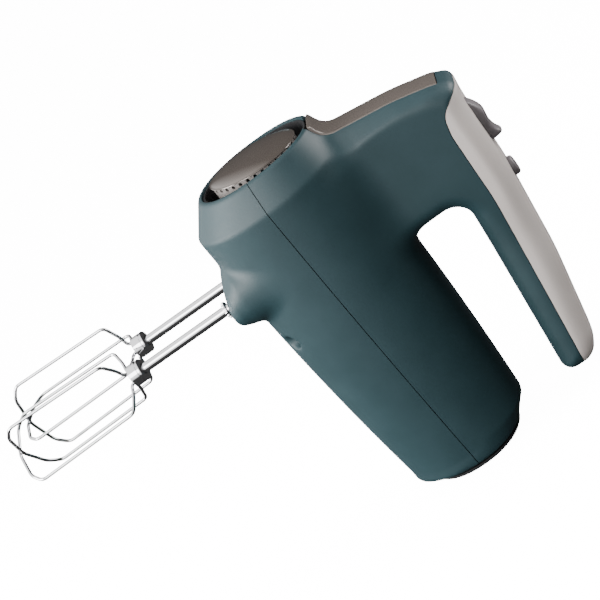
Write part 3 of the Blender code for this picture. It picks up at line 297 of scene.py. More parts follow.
def handle_distance():
    """The hook given width: round at the grip, flat-sided at the neck, chamfered at its front."""
    px, pz = (values.ravel() for values in np.meshgrid(grid_x, grid_z, indexing="ij"))
    side = outline_distance(rounded_outline(HOOK), px, pz)
    side = side.reshape(len(grid_x), 1, len(grid_z)).astype(np.float32)
    at_neck = ease(Z, NECK_FROM_Z, NECK_TO_Z)
    half_width = GRIP_HALF_WIDTH + (NECK_HALF_WIDTH - GRIP_HALF_WIDTH) * at_neck
    radius = GRIP_ROUND - (GRIP_ROUND - NECK_ROUND) * at_neck
    top_round = ease(X, TOP_FROM_X, TOP_TO_X) * at_neck
    radius = radius + TOP_ROUND * top_round
    across = np.abs(Y) - half_width
    corner_side = np.maximum(side + radius, 0)
    corner_across = np.maximum(across + radius, 0)
    inner = np.minimum(np.maximum(side, across) + radius, 0)
    body = np.hypot(corner_side, corner_across) - radius + inner
    behind_front = neck_front(X) - Z
    spread = BEVEL_SLOPE + BEVEL_FLARE * np.clip((X - BEVEL_FROM_X) / BEVEL_FROM_X, 0, 1.2)
    chamfer = (np.abs(Y) - TRIM_HALF_WIDTH - 0.8 - spread * behind_front) / np.hypot(1, spread)
    return overlap(body, chamfer, BEVEL_ROUND).astype(np.float32)


# %% [markdown]
# ## Beater turret
# Both sockets leave the belly through one oval turret. It is steep towards the heel and runs out
# gently towards the nose, so its centre shifts forward as it widens into the body.

# %% Turret form
TURRET_STEPS = {
    "drop": (15.0, 30.0, 43.0, 50.0, 54.6, 58.0),
    "half_length": (25.0, 24.0, 21.4, 16.6, 11.0, 8.0),
    "half_width": (34.8, 34.2, 32.6, 30.6, 27.4, 25.0),
    "centre": (2.2, 1.8, 1.0, -1.2, -4.6, -6.0),
}
TURRET_SQUARENESS = 2.3
TURRET_ROOT, TURRET_ROUND = 12.0, 3.0


def turret_distance():
    drop = -X
    half_length, half_width, centre = (
        np.interp(drop, TURRET_STEPS["drop"], TURRET_STEPS[name]).astype(np.float32)
        for name in ("half_length", "half_width", "centre"))
    side = as_distance(oval_section(Z - SPINDLE_Z - centre, Y, half_length, half_width, TURRET_SQUARENESS))
    ends = np.maximum(drop + TURRET_X, TURRET_ROOT - drop) + 0 * side
    return overlap(side, ends, TURRET_ROUND)


# %% [markdown]
# ## From distances to a mesh
# The zero level is meshed cell by cell: each cell that the surface passes gets one vertex at the
# middle of its crossings, and each grid edge that changes sign gets one face between its four cells.
# A few steps along the slope then pull the vertices exactly onto the surface. The slope is also the
# shading normal, so a fairly coarse mesh still shades like a polished tool cut it.

# %% Meshing
CORNERS = [(i, j, k) for i in (0, 1) for j in (0, 1) for k in (0, 1)]
EDGES = [(a, b) for a in CORNERS for b in CORNERS
         if a < b and sum(abs(p - q) for p, q in zip(a, b)) == 1]
GRID_START = np.array([grid_x[0], grid_y[0], grid_z[0]], dtype=float)


def sample(field, points):
    """Value of a grid at any points (mm), by blending the eight neighbours."""
    places = (points - GRID_START) / CELL
    low = np.clip(np.floor(places).astype(int), 0, np.array(field.shape) - 2)
    rest = places - low
    total = np.zeros(len(places))
    for corner in CORNERS:
        shares = [rest[:, axis] if c else 1 - rest[:, axis] for axis, c in enumerate(corner)]
        weight = np.prod(shares, axis=0)
        total += weight * field[tuple((low + corner).T)]
    return total


def sink(points, field, slopes, depth):
    """Move points along the slope until they lie at a depth below the surface."""
    for share in (0.25, 0.5, 0.75, 1, 1, 1):
        value = sample(field, points) + depth * share
        slope = np.stack([sample(part, points) for part in slopes], axis=1)
        step = value[:, None] * slope / np.maximum((slope * slope).sum(axis=1), 0.2)[:, None]
        points = points - np.clip(step, -0.8, 0.8)
    return points


def directions(points, slopes):
    slope = np.stack([sample(part, points) for part in slopes], axis=1)
    return slope / np.maximum(np.linalg.norm(slope, axis=1), 1e-9)[:, None]


def mesh_of_level(field):
    """Points (mm) and triangles of the zero level of a field on the grid."""
    inside = field < 0
    size = [length - 1 for length in field.shape]
    some = np.zeros(size, bool)
    every = np.ones(size, bool)
    for corner in CORNERS:
        values = inside[tuple(slice(c, c + n) for c, n in zip(corner, size))]
        some |= values
        every &= values
    cells = np.argwhere(some & ~every)
    number = np.full(size, -1)
    number[tuple(cells.T)] = np.arange(len(cells))
    total = np.zeros((len(cells), 3))
    hits = np.zeros(len(cells))
    for a, b in EDGES:
        first = field[tuple((cells + a).T)]
        second = field[tuple((cells + b).T)]
        crossed = (first < 0) != (second < 0)
        share = np.where(crossed, first / np.where(crossed, first - second, 1), 0)
        total[crossed] += (np.array(a) + share[:, None] * (np.array(b) - np.array(a)))[crossed]
        hits += crossed
    points = GRID_START + (cells + total / hits[:, None]) * CELL
    quads = []
    for axis in range(3):
        ahead = [slice(None)] * 3
        behind = [slice(None)] * 3
        ahead[axis], behind[axis] = slice(1, None), slice(None, -1)
        change = inside[tuple(behind)].astype(np.int8) - inside[tuple(ahead)].astype(np.int8)
        edges = np.argwhere(change)
        sign = change[tuple(edges.T)]
        b, c = (axis + 1) % 3, (axis + 2) % 3
        ring = []
        for shift_b, shift_c in ((-1, -1), (0, -1), (0, 0), (-1, 0)):
            cell = edges.copy()
            cell[:, b] += shift_b
            cell[:, c] += shift_c
            ring.append(number[tuple(cell.T)])
        ring = np.stack(ring, axis=1)
        quads.append(np.where(sign[:, None] > 0, ring, ring[:, ::-1]))
    quads = np.concatenate(quads)
    return points, np.concatenate([quads[:, [0, 1, 2]], quads[:, [0, 2, 3]]])


# %% [markdown]
# ## The moulded form
# Body, handle and turret are melted together: a large fillet where the neck meets the body, a small
# one round the turret. Two round recesses for the screws are carved into the belly, and a flat bed for
# the slider into the top of the handle.

# %% Melt the form
NECK_FILLET, FRONT_FILLET, TURRET_FILLET = 13.0, 5.5, 3.5
FRONT_FROM_Z, FRONT_TO_Z = 186.0, 202.0
HEEL_ROUND, RECESS_ROUND, TRACK_ROUND = 0.8, 1.4, 0.5
SCREW_RECESS_RADIUS, SCREW_RECESS_DEPTH = 4.4, 1.5


def screw_recess_distance():
    recess = None
    for name in ("housing_screw_1", "housing_screw_2"):
        low, high = box_mm(name)
        middle_y, middle_z = (low[1] + high[1]) / 2, (low[2] + high[2]) / 2
        tube = np.maximum(np.hypot(Y - middle_y, Z - middle_z) - SCREW_RECESS_RADIUS,
                          X - low[0] + SCREW_RECESS_DEPTH)
        recess = tube if recess is None else np.minimum(recess, tube)
    return recess


TRACK_FLOOR_X = 112.9
TRACK_HALF_WIDTH = 7.2
TRACK_REAR_RUN, TRACK_FRONT_RUN = 3.8, 9.8


def track_distance():
    """Flat bed that the thumb slider runs on, as long as the slider and its travel."""
    low, high = box_mm("speed_switch")
    rear, front = low[2] - TRACK_REAR_RUN, high[2] + TRACK_FRONT_RUN
    sides = np.maximum(np.abs(Y) - TRACK_HALF_WIDTH,
                       np.abs(Z - (rear + front) / 2) - (front - rear) / 2)
    return np.maximum(sides, TRACK_FLOOR_X - X)


def moulded_form():
    fillet = NECK_FILLET - (NECK_FILLET - FRONT_FILLET) * ease(Z, FRONT_FROM_Z, FRONT_TO_Z)
    form = melt(body_distance(), handle_distance(), fillet)
    form = melt(form, turret_distance(), TURRET_FILLET)
    form = overlap(form, HEEL_Z - Z + 0 * form, HEEL_ROUND)
    form = carve(form, screw_recess_distance(), RECESS_ROUND)
    return carve(form, track_distance(), TRACK_ROUND)


form_field = moulded_form()
form_slopes = np.gradient(form_field, CELL)
skin_points, skin_triangles = mesh_of_level(form_field)
skin_points = sink(skin_points, form_field, form_slopes, 0.0)
print("outer skin:", len(skin_triangles), "triangles")


# %% [markdown]
# ## Cutting the skin into mouldings
# A real mixer is clipped together from several shells. The one smooth skin is cut along the parting
# line and along the edge of the light cover, so the shells stay flush across a fine gap. Openings
# for the controls, sockets and cord are cut in the same way, and then each shell gets its wall.

# %% Cut a skin and give it a wall
def cut_along(points, triangles, value):
    """Trim a triangle skin along the zero level of a value per point; the negative side stays."""
    inside = value < 0
    count = inside[triangles].sum(axis=1)
    ones, twos = triangles[count == 1], triangles[count == 2]

    def turned(some, wanted):
        first = np.argmax(inside[some] == wanted, axis=1)
        return [some[np.arange(len(some)), (first + turn) % 3] for turn in range(3)]

    a1, b1, c1 = turned(ones, True)
    a2, b2, c2 = turned(twos, False)
    pairs = np.sort(np.concatenate([np.stack(pair, axis=1) for pair in
                                    ((a1, b1), (a1, c1), (a2, b2), (a2, c2))]), axis=1)
    unique, where = np.unique(pairs, axis=0, return_inverse=True)
    low, high = unique.T
    share = (value[low] / (value[low] - value[high]))[:, None]
    added = points[low] + share * (points[high] - points[low])
    where = where.reshape(-1) + len(points)
    m, n = len(ones), len(twos)
    ab1, ac1, ab2, ac2 = where[:m], where[m:2 * m], where[2 * m:2 * m + n], where[2 * m + n:]
    faces = np.concatenate([triangles[count == 3], np.stack((a1, ab1, ac1), axis=1),
                            np.stack((ab2, b2, c2), axis=1), np.stack((ab2, c2, ac2), axis=1)])
    used, renumbered = np.unique(faces, return_inverse=True)
    return np.concatenate([points, added])[used], renumbered.reshape(-1, 3)


def make_object(name, points_mm, faces, loop_normals=None):
    mesh = bpy.data.meshes.new(name)
    mesh.from_pydata((np.asarray(points_mm) * MM).tolist(), [], [list(map(int, face)) for face in faces])
    mesh.polygons.foreach_set("use_smooth", [True] * len(mesh.polygons))
    if loop_normals is not None:
        mesh.normals_split_custom_set(loop_normals.tolist())
    made = bpy.data.objects.new(name, mesh)
    bpy.context.scene.collection.objects.link(made)
    return made


def walled(name, points, triangles, wall=WALL):
    """Closed shell: the skin, its copy sunk by the wall, and a rim along every open edge."""
    edges = np.concatenate([triangles[:, [0, 1]], triangles[:, [1, 2]], triangles[:, [2, 0]]])
    size = len(points)
    key = edges[:, 0] * size + edges[:, 1]
    open_edges = edges[~np.isin(key, edges[:, 1] * size + edges[:, 0])]
    inner = sink(points, form_field, form_slopes, wall)
    a, b = open_edges.T
    rim = np.concatenate([np.stack((b, a, a + size), axis=1), np.stack((b, a + size, b + size), axis=1)])
    every = np.concatenate([points, inner])
    faces = np.concatenate([triangles, triangles[:, ::-1] + size, rim])
    outward = directions(points, form_slopes)
    edge_normals = np.cross(every[rim[:, 1]] - every[rim[:, 0]], every[rim[:, 2]] - every[rim[:, 0]])
    edge_normals /= np.maximum(np.linalg.norm(edge_normals, axis=1), 1e-9)[:, None]
    inward = -directions(inner, form_slopes)
    loops = np.concatenate([outward[triangles].reshape(-1, 3), inward[triangles[:, ::-1]].reshape(-1, 3),
                            np.repeat(edge_normals, 3, axis=0)])
    made = make_object(name, every, faces, loops)
    print(name, len(faces), "triangles,", len(open_edges), "edges on its rim")
    return made


# %% [markdown]
# ## Edge of the cover and the openings
# The cover's edge follows the grip and then curls up over the shoulder of the neck. Each opening is
# a plain outline: an oval mouth for the nose, circles for the sockets, the button and the cord, a
# rounded slot for the speed switch, and a long strip for the neck's inlay.

# %% Outlines of the cuts
COVER_EDGE = [
    (79.6, -10.0, 0), (79.6, 8.0, 60), (87.0, 60.0, 260), (96.2, 126.0, 160), (98.6, 168.0, 16),
    (101.5, 180.0, 12), (118.0, 189.2, 0), (140.0, 189.2, 0), (140.0, -10.0, 0),
]
cover_outline = rounded_outline(COVER_EDGE)
switch_low, switch_high = box_mm("speed_switch")
button_low, button_high = box_mm("turbo_button")
BUTTON_Z = (button_low[2] + button_high[2]) / 2
BUTTON_HOLE = (button_high[2] - button_low[2]) / 2 + 0.45
cord_low, cord_high = box_mm("cord_inlet")
CORD_X = (cord_low[0] + cord_high[0]) / 2
INLAY_END_X, INLAY_FLOOR_Z = 108.4, 192.0
HANDLE_TOP_X = 103.0
SLOT_Z, SLOT_HALF_WIDTH, SLOT_HALF_LENGTH, SLOT_CORNER = 164.0, 2.6, 10.5, 1.6
SOCKET_HOLE, CORD_HOLE = 6.2, 3.4


def rounded_slot(u, v, half_u, half_v, radius):
    out_u, out_v = np.abs(u) - half_u + radius, np.abs(v) - half_v + radius
    beyond = np.hypot(np.maximum(out_u, 0), np.maximum(out_v, 0))
    return beyond + np.minimum(np.maximum(out_u, out_v), 0) - radius


def only_where(condition, value):
    """Switch an opening off away from the wall that it goes through."""
    return np.where(condition, value, np.maximum(value, 1.0))


def cut_out(skin, openings):
    points, triangles = skin
    for opening in openings:
        points, triangles = cut_along(points, triangles, -opening(*points.T))
    return points, triangles


def nose_mouth(x, y, z):
    across = oval_section(x - RIM_RISE, y, RIM_X - RIM_WALL, RIM_Y - RIM_WALL, BODY_SQUARENESS) * RIM_Y
    return only_where(z > NOSE_Z - 2.5, across)


def trim_slot(x, y, z):
    middle = (RIM_X + INLAY_END_X) / 2
    slot = rounded_slot(x - middle, y, INLAY_END_X - middle, TRIM_HALF_WIDTH + 0.15, 1.2)
    return only_where(z > INLAY_FLOOR_Z, slot)


def socket_holes(x, y, z):
    return only_where(x < TURRET_X + 3.0, np.hypot(np.abs(y) - SPINDLE_Y, z - SPINDLE_Z) - SOCKET_HOLE)


def button_hole(x, y, z):
    return only_where(x > HANDLE_TOP_X, np.hypot(y, z - BUTTON_Z) - BUTTON_HOLE)


def switch_slot(x, y, z):
    slot = rounded_slot(y, z - SLOT_Z, SLOT_HALF_WIDTH, SLOT_HALF_LENGTH, SLOT_CORNER)
    return only_where(x > HANDLE_TOP_X, slot)


def cord_hole(x, y, z):
    return only_where(z < 17.0, np.hypot(x - CORD_X, y) - CORD_HOLE)


# %% Cut the three shells
def seam_side(points, sign):
    return SEAM_GAP / 2 - sign * points[:, 0]


def beyond_cover(points):
    return outline_distance(cover_outline, points[:, 0], points[:, 2])


upper_skin = cut_along(skin_points, skin_triangles, seam_side(skin_points, 1))
cover_skin = cut_along(*upper_skin, beyond_cover(upper_skin[0]) + SEAM_GAP / 2)
upper_skin = cut_along(*upper_skin, SEAM_GAP / 2 - beyond_cover(upper_skin[0]))
lower_skin = cut_along(skin_points, skin_triangles, seam_side(skin_points, -1))

upper_shell = walled("upper_shell", *cut_out(upper_skin, [nose_mouth, trim_slot, cord_hole]))
cover_shell = walled("cover_shell", *cut_out(cover_skin, [button_hole, switch_slot, cord_hole]))
lower_shell = walled("lower_shell", *cut_out(lower_skin, [nose_mouth, socket_holes]))


# %% [markdown]
# ## Lofted and turned pieces
# The cap, button, rods and rings are all stacks of closed outlines. One helper skins such a stack,
# and another turns a profile about the line of a beater.

# %% Skins through outlines
def skinned(name, rings, closed=False):
    """Skin through rings of equal length; either capped at both ends or joined end to end."""
    rings = np.asarray(rings, dtype=float)
    levels, count = rings.shape[:2]
    faces = []
    for level in range(levels if closed else levels - 1):
        base, following = level * count, (level + 1) % levels * count
        for index in range(count):
            turn = (index + 1) % count
            faces.append((base + index, base + turn, following + turn, following + index))
    if not closed:
        faces += [tuple(reversed(range(count))), tuple((levels - 1) * count + i for i in range(count))]
    made = make_object(name, rings.reshape(-1, 3), faces)
    builder = bmesh.new()
    builder.from_mesh(made.data)
    bmesh.ops.remove_doubles(builder, verts=builder.verts, dist=1e-6)
    bmesh.ops.recalc_face_normals(builder, faces=builder.faces)
    for edge in builder.edges:
        edge.smooth = len(edge.link_faces) == 2 and edge.calc_face_angle(0) < math.radians(38)
    builder.to_mesh(made.data)
    builder.free()
    return made


def turned(name, profile, y, z, sides=64, closed=False):
    """Turn a profile of (distance along X, radius) about a line parallel to X."""
    angles = np.linspace(0, 2 * math.pi, sides, endpoint=False)
    rings = [[(x, y + r * math.cos(a), z + r * math.sin(a)) for a in angles] for x, r in profile]
    return skinned(name, rings, closed)


def oval_ring(half_x, half_y, z, rise=RIM_RISE, sides=128):
    angles = np.linspace(0, 2 * math.pi, sides, endpoint=False)
    return [(rise + half_x * math.cos(a), half_y * math.sin(a), z) for a in angles]


def baked(made):
    """Turn an object's modifiers into a plain mesh."""
    graph = bpy.context.evaluated_depsgraph_get()
    mesh = bpy.data.meshes.new_from_object(made.evaluated_get(graph))
    made.modifiers.clear()
    made.data = mesh
    return made


# %% [markdown]
# ## Nose cap
# The cap is a shallow glossy dome over the air inlet. Its skirt is perforated, so the fan can draw
# air in all round. The holes repeat along an oval, which is a job for Geometry Nodes: a drill is
# placed on evenly spaced points of the oval, and the set of drills is cut out of the skirt.

# %% Nose cap
cap_low, cap_high = box_mm("nose_cap")
CAP_X = (cap_high[0] - cap_low[0]) / 2
CAP_Y = (cap_high[1] - cap_low[1]) / 2
CAP_EDGE_Z = cap_high[2] - 3.5


def make_dome():
    profile = [(0.90, -0.5), (0.995, -0.5), (1.0, -0.3), (0.997, -0.05), (0.982, 0.06)]
    crown = [(math.cos(t), 3.5 * math.sin(t) ** 1.15) for t in np.linspace(0.24, math.pi / 2 - 0.02, 16)]
    start = crown[0][1]
    profile += [(0.968 * share / crown[0][0], 0.12 + (rise - start) * 3.38 / (3.5 - start))
                for share, rise in crown]
    return skinned("nose_dome", [oval_ring(CAP_X * s, CAP_Y * s, CAP_EDGE_Z + rise) for s, rise in profile])


def add_node(tree, kind, settings=None, inputs=None):
    """Add a node, set its properties, and set or link its inputs."""
    node = tree.nodes.new(kind)
    for name, value in (settings or {}).items():
        setattr(node, name, value)
    for name, value in (inputs or {}).items():
        if isinstance(value, bpy.types.NodeSocket):
            tree.links.new(value, node.inputs[name])
        else:
            node.inputs[name].default_value = value
    return node


def tree_around_oval(name, operation):
    """Geometry Nodes: set small tools on an oval and cut them from, or add them to, the base mesh."""
    tree = bpy.data.node_groups.new(name, "GeometryNodeTree")
    face = tree.interface
    face.new_socket("Geometry", in_out="INPUT", socket_type="NodeSocketGeometry")
    sockets = {}
    for label, kind in (("Half height", "Float"), ("Half width", "Float"), ("Level", "Vector"),
                        ("Count", "Int"), ("Tool radius", "Float"), ("Tool length", "Float"),
                        ("Tool sides", "Int"), ("Turn", "Rotation"), ("Finish", "Material")):
        sockets[label] = face.new_socket(label, in_out="INPUT", socket_type="NodeSocket" + kind).identifier
    face.new_socket("Geometry", in_out="OUTPUT", socket_type="NodeSocketGeometry")
    entry = add_node(tree, "NodeGroupInput")
    circle = add_node(tree, "GeometryNodeCurvePrimitiveCircle", inputs={"Radius": 1.0, "Resolution": 128})
    size = add_node(tree, "ShaderNodeCombineXYZ", inputs={"X": entry.outputs["Half height"],
                                                          "Y": entry.outputs["Half width"], "Z": 1.0})
    oval = add_node(tree, "GeometryNodeTransform", inputs={"Geometry": circle.outputs["Curve"],
                                                           "Scale": size.outputs[0]})
    placed = add_node(tree, "GeometryNodeTransform", inputs={
        "Geometry": oval.outputs[0], "Translation": entry.outputs["Level"],
        "Rotation": entry.outputs["Turn"]})
    spaced = add_node(tree, "GeometryNodeCurveToPoints", inputs={"Curve": placed.outputs[0],
                                                                 "Count": entry.outputs["Count"]})
    tool = add_node(tree, "GeometryNodeMeshCylinder", inputs={
        "Vertices": entry.outputs["Tool sides"], "Radius": entry.outputs["Tool radius"],
        "Depth": entry.outputs["Tool length"]})
    facing = add_node(tree, "FunctionNodeAlignRotationToVector", {"axis": "Z"},
                      inputs={"Vector": spaced.outputs["Normal"]})
    set_out = add_node(tree, "GeometryNodeInstanceOnPoints", inputs={
        "Points": spaced.outputs["Points"], "Instance": tool.outputs["Mesh"],
        "Rotation": facing.outputs[0]})
    real = add_node(tree, "GeometryNodeRealizeInstances", inputs={"Geometry": set_out.outputs[0]})
    both = add_node(tree, "GeometryNodeMeshBoolean", {"operation": operation})
    if operation == "DIFFERENCE":
        tree.links.new(entry.outputs["Geometry"], both.inputs["Mesh 1"])
    else:
        tree.links.new(entry.outputs["Geometry"], both.inputs["Mesh 2"])
    tree.links.new(real.outputs[0], both.inputs["Mesh 2"])
    painted = add_node(tree, "GeometryNodeSetMaterial", inputs={"Geometry": both.outputs["Mesh"],
                                                                "Material": entry.outputs["Finish"]})
    add_node(tree, "NodeGroupOutput", inputs={"Geometry": painted.outputs[0]})
    return tree, sockets


def work_around_oval(made, operation, **values):
    tree, sockets = tree_around_oval(made.name + "_tree", operation)
    modifier = made.modifiers.new("Around", "NODES")
    modifier.node_group = tree
    for label, value in values.items():
        modifier[sockets[label.replace("_", " ")]] = value
    return baked(made)


# %% [markdown]
# ## Finishes
# Every finish starts from the real stuff. Its colour is a hex value, its grain has a size in
# millimetres, and the same noise moves colour, roughness and height a little, as on a real surface.

# %% Colour and finish helpers
def linear(hex_colour):
    """sRGB hex to linear colour."""
    parts = [int(hex_colour[i:i + 2], 16) / 255 for i in (1, 3, 5)]
    return [part / 12.92 if part <= 0.04045 else ((part + 0.055) / 1.055) ** 2.4 for part in parts] + [1.0]


def finish(name, dark, light, roughness, grain, height, metallic=0.0, stretch=(1, 1, 1), cloud=22.0,
           **fixed):
    """Principled finish; grain, height and cloud are in mm, roughness is its lowest and highest value."""
    made = bpy.data.materials.new(name)
    made.use_nodes = True
    tree = made.node_tree
    shader = tree.nodes["Principled BSDF"]
    shader.inputs["Metallic"].default_value = metallic
    for label, value in fixed.items():
        shader.inputs[label.replace("_", " ")].default_value = value
    place = add_node(tree, "ShaderNodeTexCoord")
    laid = add_node(tree, "ShaderNodeMapping", inputs={"Vector": place.outputs["Object"], "Scale": stretch})
    fine = add_node(tree, "ShaderNodeTexNoise", inputs={"Vector": laid.outputs[0], "Scale": 1 / (grain * MM),
                                                        "Detail": 3.0})
    broad = add_node(tree, "ShaderNodeTexNoise", inputs={"Vector": place.outputs["Object"],
                                                         "Scale": 1 / (cloud * MM), "Detail": 2.0})
    both = add_node(tree, "ShaderNodeMath", {"operation": "ADD"})
    tree.links.new(fine.outputs[0], both.inputs[0])
    tree.links.new(broad.outputs[0], both.inputs[1])
    half = add_node(tree, "ShaderNodeMath", {"operation": "MULTIPLY"}, {0: both.outputs[0], 1: 0.5})
    colour = add_node(tree, "ShaderNodeValToRGB", inputs={"Fac": half.outputs[0]})
    colour.color_ramp.elements[0].position = 0.0
    colour.color_ramp.elements[0].color = linear(dark)
    colour.color_ramp.elements[1].color = linear(light)
    gloss = add_node(tree, "ShaderNodeMapRange", inputs={
        "Value": half.outputs[0], "From Min": 0.3, "From Max": 0.7,
        "To Min": roughness[0], "To Max": roughness[1]})
    bump = add_node(tree, "ShaderNodeBump", inputs={"Height": fine.outputs[0], "Distance": height * MM,
                                                    "Strength": 1.0})
    tree.links.new(colour.outputs[0], shader.inputs["Base Color"])
    tree.links.new(gloss.outputs[0], shader.inputs["Roughness"])
    tree.links.new(bump.outputs[0], shader.inputs["Normal"])
    return made


# %% The finishes
LONG_X, LONG_Z = (0.04, 1, 1), (1, 1, 0.04)
FINISHES = {
    # ABS from a spark-eroded mould: fine even grain, no mirror. Grain drawn at 0.7 mm so that it shows.
    "body_teal": finish("moulded_teal_abs", "#182D31", "#223D43", (0.46, 0.58), 0.7, 0.030),
    # Satin ABS, warm light grey, smoother mould.
    "cover_grey": finish("satin_grey_abs", "#C0B7B2", "#D6CEC9", (0.30, 0.38), 0.6, 0.012),
    # Metallic lacquer under a clear coat: a soft gradient with a sharp highlight.
    "gloss_grey": finish("lacquered_warm_grey", "#5A524D", "#6E6660", (0.10, 0.16), 0.4, 0.0006,
                         metallic=0.5, Coat_Weight=0.6, Coat_Roughness=0.06),
    # The same lacquer on the flat inlay, painted lighter to stand in for the light that falls on it.
    "neck_lacquer": finish("inlay_grey_lacquer_painted_lighter", "#6C635E", "#7F766F", (0.12, 0.20), 0.4, 0.0006,
                           metallic=0.4, Coat_Weight=0.6, Coat_Roughness=0.06),
    # Satin metallised skirt under the cap, brighter than the cap itself.
    "cap_skirt": finish("satin_metallised_skirt", "#8E8884", "#B0AAA6", (0.30, 0.40), 0.4, 0.003,
                        metallic=0.5),
    # Moulded control pieces with a fine matte touch.
    "control_grey": finish("touch_grey_abs", "#595456", "#6C6769", (0.42, 0.54), 0.6, 0.015),
    # Black ABS, hidden and shaded pieces.
    "black_plastic": finish("black_abs", "#0C0C0E", "#1A1A1D", (0.50, 0.62), 0.8, 0.020),
    # Polished chrome plate: mirror with the faintest polishing lines along the rod.
    "chrome": finish("polished_chrome_plate", "#DCDCDE", "#EEEEF0", (0.05, 0.11), 0.3, 0.001, 1.0, LONG_X),
    # Turned or drawn steel.
    "steel": finish("drawn_steel", "#9A9A9C", "#C2C2C4", (0.28, 0.42), 0.3, 0.004, 1.0, LONG_Z),
    # Edges of stacked sheet: lines across Z.
    "lamination": finish("stacked_sheet_steel", "#5A5A5E", "#8A8A8E", (0.40, 0.60), 0.6, 0.030, 1.0,
                         (0.05, 0.05, 1)),
    # Enamelled winding wire.
    "copper": finish("enamelled_copper_wire", "#A3542C", "#D08352", (0.25, 0.40), 0.5, 0.050, 1.0,
                     (1, 0.15, 1)),
    "brass": finish("turned_brass", "#A8833F", "#CFA85E", (0.24, 0.38), 0.3, 0.004, 1.0),
    "carbon": finish("pressed_carbon", "#1E1E1F", "#333334", (0.60, 0.75), 0.25, 0.020),
    "nylon": finish("natural_nylon", "#D2CDBD", "#E6E2D5", (0.42, 0.55), 0.7, 0.010, Subsurface_Weight=0.05),
    "board_green": finish("solder_mask_green", "#0F4527", "#1B6238", (0.30, 0.45), 0.6, 0.010),
    "spring_steel": finish("spring_wire", "#A6A6A9", "#CFCFD2", (0.22, 0.34), 0.3, 0.004, 1.0),
}
print(len(FINISHES), "finishes")


def dress(made, kind, body, *nodes):
    """Give a piece its finish, its body and the solids that it stands for."""
    made.data.materials.clear()
    made.data.materials.append(FINISHES[kind])
    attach(made, body)
    if nodes:
        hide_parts(*nodes)
    return made


# %% Shells and cap
dress(upper_shell, "body_teal", "housing", "upper_housing")
dress(lower_shell, "body_teal", "housing", "lower_housing")
dress(cover_shell, "cover_grey", "housing", "handle_cover")

SKIRT_SHARE = 0.975
SKIRT_THICK = 1.2
SKIRT_HOLE_RADIUS = 1.05
SKIRT_HOLE_PITCH = 4.8


def make_skirt():
    outer_x, outer_y = CAP_X * SKIRT_SHARE, CAP_Y * SKIRT_SHARE
    top = CAP_EDGE_Z - 0.55
    levels = [(0, cap_low[2]), (0, top), (SKIRT_THICK, top), (SKIRT_THICK, cap_low[2])]
    skirt = skinned("cap_skirt", [oval_ring(outer_x - t, outer_y - t, z) for t, z in levels], closed=True)
    around = math.pi * (outer_x + outer_y)
    count = int(around / SKIRT_HOLE_PITCH)
    work_around_oval(skirt, "DIFFERENCE", Half_height=(outer_x - 0.6) * MM, Half_width=(outer_y - 0.6) * MM,
                     Level=(RIM_RISE * MM, 0.0, (CAP_EDGE_Z - 1.9) * MM), Count=count + 1,
                     Tool_radius=SKIRT_HOLE_RADIUS * MM, Tool_length=4.0 * MM, Tool_sides=20,
                     Finish=FINISHES["cap_skirt"])
    print("skirt with", count, "holes,", len(skirt.data.polygons), "faces")
    return skirt


CAP_LEAN = 0.075


def lean(made):
    """The cap sits a little lower towards the neck."""
    for vertex in made.data.vertices:
        vertex.co.z -= CAP_LEAN * (vertex.co.x - RIM_RISE * MM)
    return made


dress(lean(make_dome()), "gloss_grey", "housing", "nose_cap")
dress(lean(make_skirt()), "cap_skirt", "housing")


# %% [markdown]
# ## Inlay on the neck
# A glossy strip is let into the neck's front face and curls out onto the rim of the collar. It is a
# flat bar with softened edges, carried along a smooth line.

# %% Neck inlay
def smooth_line(corners, steps=8):
    """Catmull-Rom line through corners (x, z)."""
    corners = np.asarray(corners, dtype=float)
    padded = np.concatenate([[2 * corners[0] - corners[1]], corners, [2 * corners[-1] - corners[-2]]])
    line = []
    for p0, p1, p2, p3 in zip(padded, padded[1:], padded[2:], padded[3:]):
        for t in np.arange(steps) / steps:
            line.append(0.5 * (2 * p1 + (p2 - p0) * t + (2 * p0 - 5 * p1 + 4 * p2 - p3) * t * t
                               + (3 * p1 - p0 - 3 * p2 + p3) * t ** 3))
    return np.array(line + [corners[-1]])


INLAY_PROUD = 0.15
TRIM_THICK = 2.2


def make_inlay():
    """Bar that follows the housing's own surface, a little proud of it."""
    face = [(x, float(neck_front(x))) for x in (108.0, 99.0, 88.0, 76.0, 64.0, 56.0)]
    drawn = smooth_line(face + [(50.0, 206.2), (46.4, 208.6), (43.9, 211.6), (41.6, 214.6), (39.7, 216.2)])
    middle = np.stack([drawn[:, 0], np.zeros(len(drawn)), drawn[:, 1]], axis=1)
    line = sink(middle, form_field, form_slopes, -INLAY_PROUD)[:, [0, 2]]
    along = np.gradient(line, axis=0)
    along /= np.linalg.norm(along, axis=1)[:, None]
    outward = np.stack([-along[:, 1], along[:, 0]], axis=1)
    outward *= np.sign(outward[:, 1])[:, None]
    half = TRIM_HALF_WIDTH
    section = [(-half, -TRIM_THICK), (-half, -0.5), (-half + 0.15, -0.15), (-half + 0.5, 0)]
    section += [(y, 0.35 * (1 - (y / half) ** 2)) for y in np.linspace(-half + 1.5, half - 1.5, 9)]
    section += [(half - 0.5, 0), (half - 0.15, -0.15), (half, -0.5), (half, -TRIM_THICK)]
    rings = [[(x + nx * d, y, z + nz * d) for y, d in section] for (x, z), (nx, nz) in zip(line, outward)]
    return skinned("neck_inlay", rings)


# The inlay's finish is the cap's lacquer painted lighter, as painted light on the inlay.
dress(make_inlay(), "neck_lacquer", "housing", "neck_trim")


# %% [markdown]
# ## Controls
# The thumb slider has a low hump to push forwards and a raised fin to pull back. The boost button is
# a short turned plug with a softly dished top.

